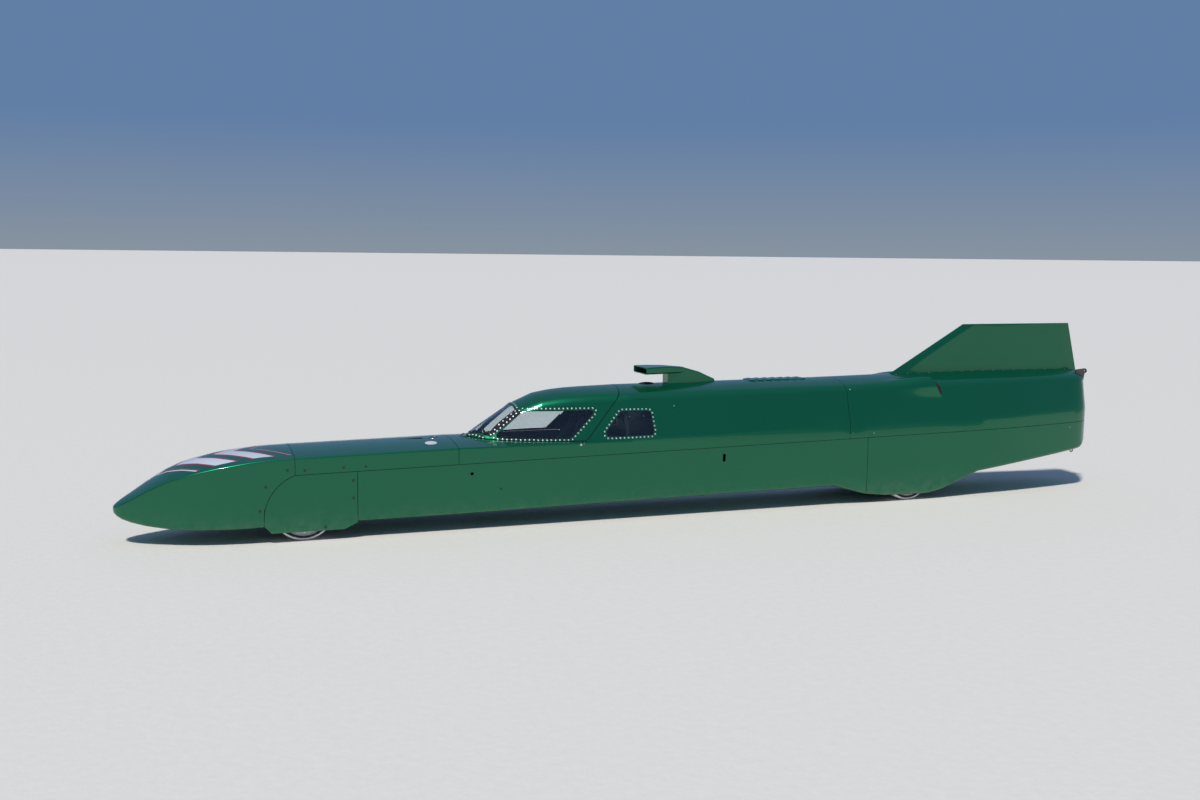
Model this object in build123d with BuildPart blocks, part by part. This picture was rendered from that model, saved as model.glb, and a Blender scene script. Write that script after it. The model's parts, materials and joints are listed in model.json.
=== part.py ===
import os
from math import atan2, cos

from build123d import *

# A small land speed streamliner: four wheels covered by a long narrow body, the driver lying ahead of
# the engine under a canopy that hinges at its nose, one tall tail fin.
# Millimetres. X points forward, Y to the driver's left, Z up. The origin is on the ground, midway
# between nose and tail on the centre line.

# Overall sizes
NOSE_X = 3335  # front tip of the nose
TAIL_X = -3335  # rear tip of the tail
HALF_WIDTH = 290  # from the centre line to the flat body side
WALL = 6  # thickness of the body panels
SEAM = 3  # open joint between two fixed panels
LID_GAP = 5  # open joint round the canopy, which moves
SEAT_GAP = 0.3  # between a piece and the wall, frame or seat that it lies against
RUN = 0.05  # radial clearance of a shaft in its bearing

# Wheels and axles
FRONT_AXLE_X = 2315
WHEELBASE = 4037
TYRE_RADIUS = 178
RIM_RADIUS = 150
TYRE_FACE_Y = 258  # outer face of every tyre
FRONT_TYRE_WIDTH = 100
REAR_TYRE_WIDTH = 128
WELL_CLEARANCE = 12  # round a tyre, in the belly's openings
REAR_AXLE_X = FRONT_AXLE_X - WHEELBASE

# Places where the body is split
DECK_FRONT_X = 2365  # nose cone to front deck
DECK_REAR_X = 1418  # front deck to middle upper body
TAIL_SPLIT_X = -1235  # middle upper body to tail upper body
LOWER_SPLIT_X = -1375  # lower body to rear lower body
BELLY_FRONT_X = 2536  # nose cone to lower body, underneath
BELLY_HALF = 136  # half width of the belly between the front wheels
SIDE_SEAM_Z = 385  # seam between upper and lower body at the nose cone's back
SIDE_SEAM_SLOPE = 0.0165  # rise of that seam for each millimetre towards the tail

# Hull zones, each lofted by itself, and the radii along their edges
CANOPY_TIP_X = 1303
CABIN_X = 315  # the canopy has its full section from here back
TAIL_ZONE_X = -2273
BELLY_RADIUS = 25
SHOULDER_RADIUS = 10
EAVE_RADIUS = 75
STATION_STEP = 105  # stations are faired in between, at most this far apart

# Nose stations: distance behind the tip, share of the half width, bottom, shoulder, crown
NOSE_STATIONS = [
    (0, 0.06, 186, 203, 210),
    (5, 0.115, 176, 206, 218),
    (18, 0.185, 162, 214, 231),
    (45, 0.275, 146, 232, 251),
    (95, 0.38, 129, 261, 283),
    (175, 0.515, 112, 312, 336),
    (290, 0.69, 98, 368, 405),
    (450, 0.875, 90, 419, 462),
    (640, 0.975, 89, 456, 494),
    (800, 0.998, 92, 475, 507),
    (970, 1.0, 95, 482, 512),
]

# Deck stations: place along the car, share of the half width, bottom, shoulder, crown
DECK_STATIONS = [
    (DECK_FRONT_X, 1.0, 95, 482, 512),
    (DECK_REAR_X, 1.0, 99, 498, 528),
    (CABIN_X, 1.0, 115, 498, 528),
]

# Canopy stations: place, share of the half width at the deck and at the eave, bottom, fold, eave, roof
CANOPY_STATIONS = [
    (CANOPY_TIP_X, 0.15, 0.09, 420, 500, 522, 537),
    (1275, 0.31, 0.21, 420, 500, 533, 557),
    (1220, 0.50, 0.34, 420, 500, 560, 592),
    (1120, 0.65, 0.45, 420, 500, 616, 652),
    (1010, 0.745, 0.525, 420, 500, 676, 722),
    (865, 0.835, 0.61, 420, 500, 732, 782),
    (665, 0.91, 0.69, 420, 499, 758, 808),
    (CABIN_X, 0.993, 0.765, 420, 498, 770, 819),
]

# Cabin stations: place, shares of the half width at the side and the eave, bottom, fold, eave, roof.
# The belly drops round the rear wheels, so those rows go with the rear axle.
CABIN_STATIONS = [
    (CABIN_X, 1.0, 0.765, 115, 494, 770, 819),
    (REAR_AXLE_X + 600, 1.0, 0.765, 131, 532, 780, 829),
    (REAR_AXLE_X + 477, 1.0, 0.765, 97, 535, 781, 831),
    (REAR_AXLE_X + 357, 1.0, 0.765, 64, 538, 783, 833),
    (REAR_AXLE_X + 197, 1.0, 0.765, 44, 543, 786, 836),
    (REAR_AXLE_X - 148, 1.0, 0.765, 39, 551, 792, 842),
    (REAR_AXLE_X - 256, 1.0, 0.765, 61, 554, 793, 843),
    (REAR_AXLE_X - 399, 1.0, 0.765, 113, 558, 795, 845),
    (TAIL_ZONE_X, 1.0, 0.765, 172, 562, 797, 846),
]

# Tail stations: the same columns
TAIL_STATIONS = [
    (TAIL_ZONE_X, 1.0, 0.765, 172, 562, 797, 846),
    (-2505, 0.972, 0.742, 200, 565, 798, 847),
    (-2755, 0.893, 0.68, 228, 569, 798, 847),
    (-3010, 0.79, 0.6, 256, 572, 796, 846),
    (-3165, 0.715, 0.54, 273, 574, 793, 844),
    (-3220, 0.665, 0.495, 279, 574, 791, 843),
    (-3255, 0.60, 0.44, 292, 574, 787, 840),
    (-3285, 0.52, 0.375, 316, 574, 780, 833),
    (-3310, 0.42, 0.30, 345, 574, 765, 819),
    (-3327, 0.31, 0.22, 371, 574, 742, 796),
    (TAIL_X, 0.22, 0.155, 396, 574, 712, 764),
]
TAIL_END_ROWS = 3  # rows at the tail's end that its hollow doesn't reach

# Canopy
CANOPY_SEAM_FOOT = (633, 478)  # x and z of the slanted rear joint, low and high end
CANOPY_SEAM_HEAD = (361, 794)
HINGE_X = CANOPY_TIP_X + 10
HINGE_Z = 537
HINGE_PIN_RADIUS = 3
HINGE_BARREL_RADIUS = 6

# Window outlines: x and z in side view, x and y in plan for the windshield
SIDE_WINDOW = [(1173, 530), (707, 524), (537, 688), (985, 690)]
QUARTER_WINDOW = [(377, 676), (184, 674), (168, 529), (505, 526)]
WINDSHIELD = [(1281, -24), (1207, -122), (1020, -106), (1020, 106), (1207, 122), (1281, 24)]
SIDE_GLASS_RADIUS = 14
QUARTER_RADIUS = 22


def at_x(x):
    """Plane across the car at x: local x is the car's left, local y is up."""
    return Plane(origin=(x, 0, 0), x_dir=(0, 1, 0), z_dir=(1, 0, 0))


def at_y(y):
    """Upright plane along the car at y: local x is forward, local y is up, extruded towards +Y."""
    return Plane(origin=(0, y, 0), x_dir=(-1, 0, 0), z_dir=(0, 1, 0))


def seam_z(x):
    """Height of the seam between upper and lower body."""
    return SIDE_SEAM_Z + SIDE_SEAM_SLOPE * (DECK_FRONT_X - x)


def canopy_seam_x(z):
    """Place of the canopy's slanted rear joint at a height."""
    (foot_x, foot_z), (head_x, head_z) = CANOPY_SEAM_FOOT, CANOPY_SEAM_HEAD
    return foot_x + (head_x - foot_x) * (z - foot_z) / (head_z - foot_z)


def faired(rows):
    """The rows with more between them, on smooth curves that never pass the given values."""
    def slope(before, after):
        return 2 * before * after / (before + after) if before * after > 0 else 0

    spans = [b[0] - a[0] for a, b in zip(rows, rows[1:])]
    rates = [[(q - p) / span for p, q in zip(a, b)] for a, b, span in zip(rows, rows[1:], spans)]
    inner = [[slope(p, q) for p, q in zip(a, b)] for a, b in zip(rates, rates[1:])]
    slopes = [rates[0], *inner, rates[-1]]
    smooth = []
    for a, b, slope_a, slope_b, span in zip(rows, rows[1:], slopes, slopes[1:], spans):
        steps = max(1, round(abs(span) / STATION_STEP))
        for i in range(steps):
            t = i / steps
            smooth.append(tuple(
                p + (q - p) * t * t * (3 - 2 * t) + span * t * (1 - t) * (m * (1 - t) - n * t)
                for p, q, m, n in zip(a, b, slope_a, slope_b)
            ))
    return smooth + [rows[-1]]


def deck_zone(stations, inset):
    """Hull with flat sides and a crowned deck."""
    with BuildPart() as zone:
        for x, share, bottom, shoulder, crown in stations:
            side, low, high = HALF_WIDTH * share - inset, bottom + inset, shoulder - inset
            belly_radius = min(BELLY_RADIUS, 0.7 * side, 0.4 * (high - low))
            shoulder_radius = min(SHOULDER_RADIUS, 0.4 * side, 0.3 * (high - low))
            with BuildSketch(at_x(x)) as section:
                with BuildLine():
                    Polyline((-side, high), (-side, low), (side, low), (side, high))
                    ThreePointArc((side, high), (0, crown - inset), (-side, high))
                make_face()
                fillet(section.vertices().sort_by(Axis.Y)[:2], belly_radius)
                fillet(section.vertices().sort_by(Axis.Y)[-2:], shoulder_radius)
        loft(ruled=True)
    return zone.part


def cabin_zone(stations, inset, floor_inset):
    """Hull with upright lower sides, sides leaning in above the fold, and a crowned roof."""
    with BuildPart() as zone:
        for x, share, eave_share, bottom, fold, eave, roof in stations:
            side, eave_side = HALF_WIDTH * share - inset, HALF_WIDTH * eave_share - inset
            low, high = bottom + floor_inset, eave - inset
            eave_radius = min(EAVE_RADIUS, 0.5 * HALF_WIDTH * eave_share, eave - fold) - inset
            with BuildSketch(at_x(x)) as section:
                with BuildLine():
                    Polyline((-eave_side, high), (-side, fold), (-side, low), (side, low),
                             (side, fold), (eave_side, high))
                    ThreePointArc((eave_side, high), (0, roof - inset), (-eave_side, high))
                make_face()
                fillet(section.vertices().sort_by(Axis.Y)[:2], BELLY_RADIUS)
                fillet(section.vertices().sort_by(Axis.Y)[-2:], max(eave_radius, 3))
        loft(ruled=True)
    return zone.part


def side_prism(outline, low_y, high_y, radius=0):
    """Solid with an outline in side view, between two places across the car."""
    with BuildPart() as prism:
        with BuildSketch(at_y(low_y)) as view:
            with BuildLine():
                Polyline(*[(-x, z) for x, z in outline], close=True)
            make_face()
            if radius:
                fillet(view.vertices(), radius)
        extrude(amount=high_y - low_y)
    return prism.part


def plan_prism(outline, low_z, high_z, radius=0):
    """Solid with an outline in plan view, between two heights."""
    with BuildPart() as prism:
        with BuildSketch(Plane.XY.offset(low_z)) as view:
            with BuildLine():
                Polyline(*outline, close=True)
            make_face()
            if radius:
                fillet(view.vertices(), radius)
        extrude(amount=high_z - low_z)
    return prism.part


# The hull's zones, outside and inside
nose_outer = deck_zone(faired([(NOSE_X - d, *rest) for d, *rest in NOSE_STATIONS]), 0)
nose_inner = deck_zone([(NOSE_X - d, *rest) for d, *rest in NOSE_STATIONS[3:]], WALL)
deck_outer = deck_zone(DECK_STATIONS, 0)
deck_inner = deck_zone(DECK_STATIONS, WALL)
canopy_outer = cabin_zone(faired(CANOPY_STATIONS), 0, 0)
canopy_inner = cabin_zone(CANOPY_STATIONS[1:], WALL, 0)
cabin_outer = cabin_zone(CABIN_STATIONS, 0, 0)
cabin_inner = cabin_zone(CABIN_STATIONS, WALL, WALL)
tail_outer = cabin_zone(faired(TAIL_STATIONS), 0, 0)
tail_inner = cabin_zone(TAIL_STATIONS[:-TAIL_END_ROWS], WALL, WALL)


# Each zone as a hollow shell, open where the next zone begins
nose_shell = nose_outer - nose_inner
deck_shell = deck_outer - deck_inner
canopy_shell_zone = canopy_outer - canopy_inner
cabin_shell = cabin_outer - cabin_inner
tail_shell = tail_outer - tail_inner

# Solids that split the hull into panels
FAR = 1400  # beyond the car's sides and below its belly
ROOF_LOW, ROOF_HIGH = 700, 1000  # heights well below and above the roof
half_seam = SEAM / 2


def along_seam(front_x, rear_x, low_rise, high_rise, low_y=-FAR, high_y=FAR):
    """Solid that follows the side seam, between two heights above it."""
    outline = [(front_x, seam_z(front_x) + low_rise), (front_x, seam_z(front_x) + high_rise),
               (rear_x, seam_z(rear_x) + high_rise), (rear_x, seam_z(rear_x) + low_rise)]
    return side_prism(outline, low_y, high_y)


def slab(high_x, low_x):
    """Slab across the whole car between two places."""
    return Pos((high_x + low_x) / 2, 0, 0) * Box(high_x - low_x, 2 * FAR, 2 * FAR, mode=Mode.PRIVATE)


def between(high_x, low_x):
    """The slab, less half a seam at each end."""
    return slab(high_x - half_seam, low_x + half_seam)


def block(high_x, low_x, half_y, low_z, high_z):
    """Block on the centre line."""
    middle = ((high_x + low_x) / 2, 0, (low_z + high_z) / 2)
    return Pos(*middle) * Box(high_x - low_x, 2 * half_y, high_z - low_z, mode=Mode.PRIVATE)


above_seam = along_seam(NOSE_X, TAIL_X, half_seam, FAR)
below_seam = along_seam(NOSE_X, TAIL_X, -FAR, -half_seam)
pieces = {}

# Front wheel covers: flat side panels that reach below the belly
COVER_REAR_X = 2015
COVER_OUTLINE = [
    (DECK_FRONT_X, seam_z(DECK_FRONT_X)), (COVER_REAR_X, seam_z(COVER_REAR_X)), (COVER_REAR_X, 92),
    (2090, 57), (2501, 57), (2525, 84), (BELLY_FRONT_X, 95),
]
COVER_ARCH_MIDDLE = (2508, 262)  # point on the arch that closes the outline


def cover_solid(grow, low_y, high_y):
    """The cover's outline, grown all round, between two places across the car."""
    with BuildPart() as cover:
        with BuildSketch(at_y(low_y)):
            with BuildLine():
                points = [(-x, z) for x, z in COVER_OUTLINE]
                arch_x, arch_z = COVER_ARCH_MIDDLE
                Polyline(*points)
                ThreePointArc(points[-1], (-arch_x, arch_z), points[0])
            make_face()
            offset(amount=grow)
        extrude(amount=high_y - low_y)
    return cover


SIDES = (("left", 1), ("right", -1))
for side_name, side in SIDES:
    low_y, high_y = sorted([side * (HALF_WIDTH - WALL), side * HALF_WIDTH])
    pieces[f"front_wheel_cover_{side_name}"] = cover_solid(-half_seam, low_y, high_y)

# Nose cone: one closed shell, cut back round the covers and the front wheels' well
NOSE_FLOOR_CUT_Z = 200  # the cone has no floor below here, behind the belly's front edge
nose_region = nose_shell & between(NOSE_X + FAR, DECK_FRONT_X)
cover_space = cover_solid(half_seam, -FAR, FAR).part
with BuildPart() as nose_cone:
    add(nose_region)
    add(cover_space, mode=Mode.SUBTRACT)
    with Locations(((DECK_FRONT_X + BELLY_FRONT_X) / 2, 0, 0)):
        Box(BELLY_FRONT_X - DECK_FRONT_X + SEAM, 2 * FAR, 2 * NOSE_FLOOR_CUT_Z, mode=Mode.SUBTRACT)
pieces["nose_cone"] = nose_cone

# Front deck, with its submerged air inlet and the hole for the flush filler cap
INLET_TIP_X, INLET_MOUTH_X, INLET_HALF = 1735, 1575, 24
FILLER_X, FILLER_RADIUS = 1505, 38
DECK_CUT_LOW, DECK_CUT_HIGH = 430, 600  # heights that hold the deck's skin
inlet_hole = plan_prism([(INLET_TIP_X, 0), (INLET_MOUTH_X, INLET_HALF), (INLET_MOUTH_X, -INLET_HALF)],
                        DECK_CUT_LOW, DECK_CUT_HIGH)
filler_column = Pos(FILLER_X, 0, DECK_CUT_HIGH) * Cylinder(FILLER_RADIUS, 2 * (DECK_CUT_HIGH - DECK_CUT_LOW))
deck_region = deck_shell & between(DECK_FRONT_X, DECK_REAR_X) & above_seam
with BuildPart() as front_deck:
    add(deck_region)
    add(inlet_hole, mode=Mode.SUBTRACT)
    with Locations((FILLER_X, 0, DECK_CUT_HIGH)):
        Cylinder(FILLER_RADIUS + SEAT_GAP, 2 * (DECK_CUT_HIGH - DECK_CUT_LOW), mode=Mode.SUBTRACT)
pieces["front_deck"] = front_deck
filler_disc = deck_shell & filler_column
with BuildPart() as filler_cap:
    add(filler_disc)
pieces["filler_cap"] = filler_cap

# Upper body from the deck's rear edge to the tail, with the cockpit opening under the canopy
seam_lean = atan2(CANOPY_SEAM_FOOT[0] - CANOPY_SEAM_HEAD[0], CANOPY_SEAM_HEAD[1] - CANOPY_SEAM_FOOT[1])
seam_shift = LID_GAP / 2 / cos(seam_lean)
LOW_CUT, HIGH_CUT = 440, ROOF_HIGH  # heights well below and above the canopy


def canopy_side_of_seam(shift, end_x):
    """Solid from the canopy's slanted joint, moved along the car, to an end."""
    return side_prism([(canopy_seam_x(LOW_CUT) + shift, LOW_CUT), (end_x, LOW_CUT),
                       (end_x, HIGH_CUT), (canopy_seam_x(HIGH_CUT) + shift, HIGH_CUT)], -FAR, FAR)


behind_canopy = canopy_side_of_seam(-seam_shift, CABIN_X - FAR)
in_canopy = canopy_side_of_seam(seam_shift, CANOPY_TIP_X + FAR)
LOUVRE_FRONT_X, LOUVRE_REAR_X, LOUVRE_HALF = -585, -1035, 70
louvre_middle = (LOUVRE_FRONT_X + LOUVRE_REAR_X) / 2
louvre_long = LOUVRE_FRONT_X - LOUVRE_REAR_X
SCOOP_DUCT_FRONT_X, SCOOP_DUCT_REAR_X, SCOOP_DUCT_HALF = -34, -104, 28
SCOOP_DUCT_TOP = 915
upper_span = between(DECK_REAR_X, TAIL_SPLIT_X)
quarter_pane = side_prism(QUARTER_WINDOW, -FAR, FAR, QUARTER_RADIUS)
middle_cabin = cabin_shell & upper_span & above_seam
middle_deck = (deck_shell & upper_span & above_seam) - canopy_inner
middle_pillars = (canopy_shell_zone & behind_canopy) - deck_inner
scoop_duct = block(SCOOP_DUCT_FRONT_X, SCOOP_DUCT_REAR_X, SCOOP_DUCT_HALF, ROOF_LOW, SCOOP_DUCT_TOP)
with BuildPart() as middle_upper_body:
    add(middle_cabin)
    add(middle_deck)
    add(middle_pillars)
    add(quarter_pane, mode=Mode.SUBTRACT)
    add(scoop_duct, mode=Mode.SUBTRACT)
    with Locations((louvre_middle, 0, HIGH_CUT)):
        Box(louvre_long, 2 * LOUVRE_HALF, 2 * (HIGH_CUT - ROOF_LOW), mode=Mode.SUBTRACT)
pieces["middle_upper_body"] = middle_upper_body

rear_quarter = cabin_shell & quarter_pane
front_quarter = middle_pillars & quarter_pane
with BuildPart() as quarter_windows:
    add(rear_quarter)
    add(front_quarter)
pieces["quarter_windows"] = quarter_windows

# Louvred panel in the roof over the engine
SLOT_COUNT, SLOT_LONG, SLOT_HALF = 7, 26, 58
louvre_panel = cabin_shell & block(LOUVRE_FRONT_X - SEAT_GAP, LOUVRE_REAR_X + SEAT_GAP,
                                   LOUVRE_HALF - SEAT_GAP, ROOF_LOW, HIGH_CUT)
with BuildPart() as roof_louvre:
    add(louvre_panel)
    with Locations((louvre_middle, 0, HIGH_CUT)):
        with GridLocations(louvre_long / (SLOT_COUNT + 0.5), 0, SLOT_COUNT, 1):
            Box(SLOT_LONG, 2 * SLOT_HALF, 2 * (HIGH_CUT - ROOF_LOW), mode=Mode.SUBTRACT)
pieces["roof_louvre"] = roof_louvre

# Tail: upper and lower half, each with the hole of one parachute tube in its rear end
TUBE_RADIUS, TUBE_WALL, TUBE_LONG = 52, 3, 520
TUBE_MOUTH_X = TAIL_X + 15
TUBES = [("lower", 418), ("upper", 560)]  # name and height of the tube's middle
tube_hole = Rot(0, 90, 0) * Cylinder(TUBE_RADIUS + SEAT_GAP, 2 * TUBE_LONG)
tube_holes = [Pos(TAIL_X + TUBE_LONG / 2, 0, z) * tube_hole for name, z in TUBES]
tail_upper_cabin = cabin_shell & between(TAIL_SPLIT_X, TAIL_X - FAR) & above_seam
tail_upper_tail = tail_shell & above_seam
with BuildPart() as tail_upper_body:
    add(tail_upper_cabin)
    add(tail_upper_tail)
    add(tube_holes, mode=Mode.SUBTRACT)
pieces["tail_upper_body"] = tail_upper_body

# Small openings in both sides of the lower body. Columns: place, height, length, depth
SIDE_HOLES = [(1339, 341, 18, 18), (-315, 360, 20, 50)]
lower_span = between(COVER_REAR_X, LOWER_SPLIT_X)
BELLY_OVERLAP = 20  # the belly strip runs this far under the lower body, which it is one with
well_inner_y = TYRE_FACE_Y - REAR_TYRE_WIDTH - WELL_CLEARANCE
well_outer_y = TYRE_FACE_Y + WELL_CLEARANCE
well_middle_y = (well_inner_y + well_outer_y) / 2
well_blank = Box(2 * (TYRE_RADIUS + WELL_CLEARANCE), well_outer_y - well_inner_y, 2 * TYRE_RADIUS)
rear_wells = [Pos(REAR_AXLE_X, side * well_middle_y, 0) * well_blank for name, side in SIDES]
belly_strip = block(BELLY_FRONT_X - half_seam, COVER_REAR_X - BELLY_OVERLAP, BELLY_HALF, 0, NOSE_FLOOR_CUT_Z)
lower_cabin = cabin_shell & lower_span & below_seam
lower_deck = deck_shell & lower_span & below_seam
belly_deck = deck_shell & belly_strip
belly_nose = nose_shell & belly_strip
with BuildPart() as lower_body:
    add(lower_cabin)
    add(lower_deck)
    add(belly_deck)
    add(belly_nose)
    for hole_x, hole_z, hole_long, hole_high in SIDE_HOLES:
        with Locations((hole_x, 0, hole_z)):
            Box(hole_long, 2 * FAR, hole_high, mode=Mode.SUBTRACT)
    add(rear_wells, mode=Mode.SUBTRACT)
pieces["lower_body"] = lower_body

rear_lower_cabin = cabin_shell & between(LOWER_SPLIT_X, TAIL_X - FAR) & below_seam
rear_lower_tail = tail_shell & below_seam
with BuildPart() as rear_lower_body:
    add(rear_lower_cabin)
    add(rear_lower_tail)
    add(tube_holes, mode=Mode.SUBTRACT)
    add(rear_wells, mode=Mode.SUBTRACT)
pieces["rear_lower_body"] = rear_lower_body

# Canopy: roof and pillars as one shell, lifted off the deck by the gap, its hinge eye at the tip
ARM_HALF, ARM_LONG = 9, 30
raised_deck = Pos(0, 0, LID_GAP) * deck_outer
canopy_body = (canopy_shell_zone & in_canopy) - raised_deck
side_pane = side_prism(SIDE_WINDOW, -FAR, FAR, SIDE_GLASS_RADIUS)
front_pane = plan_prism(WINDSHIELD, LOW_CUT, HIGH_CUT, SIDE_GLASS_RADIUS)
with BuildPart() as canopy_shell:
    add(canopy_body)
    add(side_pane, mode=Mode.SUBTRACT)
    add(front_pane, mode=Mode.SUBTRACT)
    with Locations((HINGE_X - ARM_LONG / 2, 0, HINGE_Z)):
        Box(ARM_LONG, 2 * ARM_HALF, 1.6 * HINGE_BARREL_RADIUS)
    with BuildSketch(at_y(-ARM_HALF)):
        with Locations((-HINGE_X, HINGE_Z)):
            Circle(HINGE_BARREL_RADIUS)
    extrude(amount=2 * ARM_HALF)
    with BuildSketch(at_y(-ARM_HALF)):
        with Locations((-HINGE_X, HINGE_Z)):
            Circle(HINGE_PIN_RADIUS + RUN)
    extrude(amount=2 * ARM_HALF, mode=Mode.SUBTRACT)
pieces["canopy_shell"] = canopy_shell
front_glass = canopy_body & front_pane
with BuildPart() as windshield:
    add(front_glass)
pieces["windshield"] = windshield
side_glass = canopy_body & side_pane
with BuildPart() as canopy_windows:
    add(side_glass)
pieces["canopy_windows"] = canopy_windows

# Canopy hinge on the deck: two ears and the pin through them
EAR_SIDE_GAP, EAR_THICK = 0.5, 6.5
EAR_INNER_Y = ARM_HALF + EAR_SIDE_GAP
EAR_OUTER_Y = EAR_INNER_Y + EAR_THICK
EAR_FRONT_X, EAR_REAR_X, EAR_LOW, EAR_NOSE_Z = HINGE_X + 22, HINGE_X - 6, 500, 533
PIN_END = 1  # the pin stands this far out of each ear
ear_outline = [(EAR_FRONT_X, EAR_LOW), (EAR_FRONT_X, EAR_NOSE_Z), (HINGE_X + 4, HINGE_Z + 7),
               (EAR_REAR_X, HINGE_Z + 5), (EAR_REAR_X, EAR_LOW)]
lifted_deck = Pos(0, 0, SEAT_GAP) * deck_outer
ears = [side_prism(ear_outline, *span) - lifted_deck
        for span in ((EAR_INNER_Y, EAR_OUTER_Y), (-EAR_OUTER_Y, -EAR_INNER_Y))]
with BuildPart() as canopy_hinge:
    add(ears)
    with BuildSketch(at_y(-EAR_OUTER_Y - PIN_END)):
        with Locations((-HINGE_X, HINGE_Z)):
            Circle(HINGE_PIN_RADIUS)
    extrude(amount=2 * (EAR_OUTER_Y + PIN_END))
pieces["canopy_hinge"] = canopy_hinge

# Intake scoop: a wide forward mouth on a narrow mast, with a duct down through the roof
# Columns: place, half width, low, high
SCOOP_HEAD = [(155, 110, 887, 930), (80, 98, 886, 932), (-20, 62, 885, 932), (-135, 41, 885, 923)]
SCOOP_MAST = [(-20, 42, 800, 931), (-135, 40, 800, 922), (-249, 31, 800, 890), (-307, 25, 800, 864),
              (-365, 15, 800, 840)]
SCOOP_WALL = 4
SCOOP_EDGE = 9


def scoop_loft(rows, inset, edge):
    """Box sections with their corners taken off, ruled from one to the next."""
    with BuildPart() as scoop:
        for x, half, low, high in rows:
            with BuildSketch(at_x(x)) as section:
                with Locations((0, (low + high) / 2)):
                    Rectangle(2 * (half - inset), high - low - 2 * inset)
                chamfer(section.vertices(), edge)
        loft(ruled=True)
    return scoop.part


scoop_head = scoop_loft(SCOOP_HEAD, 0, SCOOP_EDGE)
scoop_mast = scoop_loft(SCOOP_MAST, 0, SCOOP_EDGE)
THROAT_END_HALF = 42  # half width of the passage where it turns down
throat_mouth = (SCOOP_HEAD[0][0] + 1, *SCOOP_HEAD[0][1:])
throat_end = (SCOOP_DUCT_REAR_X, THROAT_END_HALF, *SCOOP_HEAD[3][2:])
scoop_throat = scoop_loft([throat_mouth, *SCOOP_HEAD[1:3], throat_end], SCOOP_WALL, SCOOP_EDGE - SCOOP_WALL)
lifted_cabin = Pos(0, 0, SEAT_GAP) * cabin_outer
with BuildPart() as intake_scoop:
    add(scoop_head)
    add(scoop_mast)
    add(scoop_throat, mode=Mode.SUBTRACT)
    add(scoop_duct, mode=Mode.SUBTRACT)
    add(lifted_cabin, mode=Mode.SUBTRACT)
pieces["intake_scoop"] = intake_scoop

# Air outlets: a bulge on each shoulder ahead of the fin, open at its slanted rear lip
BULGE_FRONT_X, BULGE_REAR_X, BULGE_RISE, BULGE_WALL = -1592, -2000, 38, 4
LIP_TOP, LIP_FOOT = (-1868, 860), (-1972, 700)
BULGE_START_RISE = -4  # just under the shoulder, so that the bulge grows out of it
# Section of the bulge at no rise: y and z from its outer foot, over its crown, to its inner foot
BULGE_FOOT, BULGE_FLANK, BULGE_CROWN = (230, 704), (243, 736), (222, 800)
BULGE_TOP, BULGE_INNER = (186, 812), (118, 800)


def bulge(inset):
    """Left bulge, swelling from the shoulder towards the tail."""
    with BuildPart() as swelling:
        for x, rise in ((BULGE_FRONT_X, BULGE_START_RISE), (BULGE_REAR_X, BULGE_RISE)):
            out = rise - inset
            with BuildSketch(at_x(x)):
                with BuildLine():
                    Polyline((BULGE_FOOT[0], BULGE_FOOT[1] + inset),
                             (BULGE_FLANK[0] + out, BULGE_FLANK[1]),
                             (BULGE_CROWN[0] + out, BULGE_CROWN[1] + out / 2),
                             (BULGE_TOP[0], BULGE_TOP[1] + out),
                             (BULGE_INNER[0] + inset, BULGE_INNER[1]), close=True)
                make_face()
        loft(ruled=True)
    return swelling.part


lip_end_x = BULGE_REAR_X - 10
lip_cut = side_prism([LIP_TOP, LIP_FOOT, (lip_end_x, LIP_FOOT[1] - 10), (lip_end_x, LIP_TOP[1])], -FAR, FAR)
left_blister = bulge(0) - bulge(BULGE_WALL) - lip_cut - lifted_cabin
with BuildPart() as outlet_blisters:
    add(left_blister)
    mirror(about=Plane.XZ)
pieces["outlet_blisters"] = outlet_blisters

# Tail fin: thin section with pointed edges, lofted from the body to its tip
# Columns: leading edge, trailing edge, height, half thickness
FIN_ROWS = [(-1600, -3320, 785, 14), (-1716, -3306, 844, 14), (-2300, -3220, 1178, 12)]
FIN_EDGE = 90  # length over which an edge thins out
lifted_tail = Pos(0, 0, SEAT_GAP) * tail_outer
with BuildPart() as fin_blank:
    for lead_x, trail_x, z, half in FIN_ROWS:
        with BuildSketch(Plane.XY.offset(z)):
            with BuildLine():
                Polyline((lead_x, 0), (lead_x - FIN_EDGE, half), (trail_x + FIN_EDGE, half), (trail_x, 0),
                         (trail_x + FIN_EDGE, -half), (lead_x - FIN_EDGE, -half), close=True)
            make_face()
    loft(ruled=True)
with BuildPart() as tail_fin:
    add(fin_blank.part)
    add(lifted_cabin, mode=Mode.SUBTRACT)
    add(lifted_tail, mode=Mode.SUBTRACT)
pieces["tail_fin"] = tail_fin

# Parachute tubes, closed at their front end, and the packs in them
PACK_RECESS, PACK_EDGE = 35, 10
with BuildPart() as chute_tubes:
    with BuildSketch(at_x(TUBE_MOUTH_X)):
        with Locations(*[(0, z) for name, z in TUBES]):
            Circle(TUBE_RADIUS)
    extrude(amount=TUBE_LONG)
    with BuildSketch(at_x(TUBE_MOUTH_X)):
        with Locations(*[(0, z) for name, z in TUBES]):
            Circle(TUBE_RADIUS - TUBE_WALL)
    extrude(amount=TUBE_LONG - TUBE_WALL, mode=Mode.SUBTRACT)
pieces["chute_tubes"] = chute_tubes
with BuildPart() as chute_packs:
    with BuildSketch(at_x(TUBE_MOUTH_X + PACK_RECESS)):
        with Locations(*[(0, z) for name, z in TUBES]):
            Circle(TUBE_RADIUS - TUBE_WALL - SEAT_GAP)
    extrude(amount=TUBE_LONG - TUBE_WALL - PACK_RECESS - SEAT_GAP)
    chamfer(chute_packs.edges().group_by(Axis.X)[0], PACK_EDGE)
pieces["chute_packs"] = chute_packs

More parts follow.
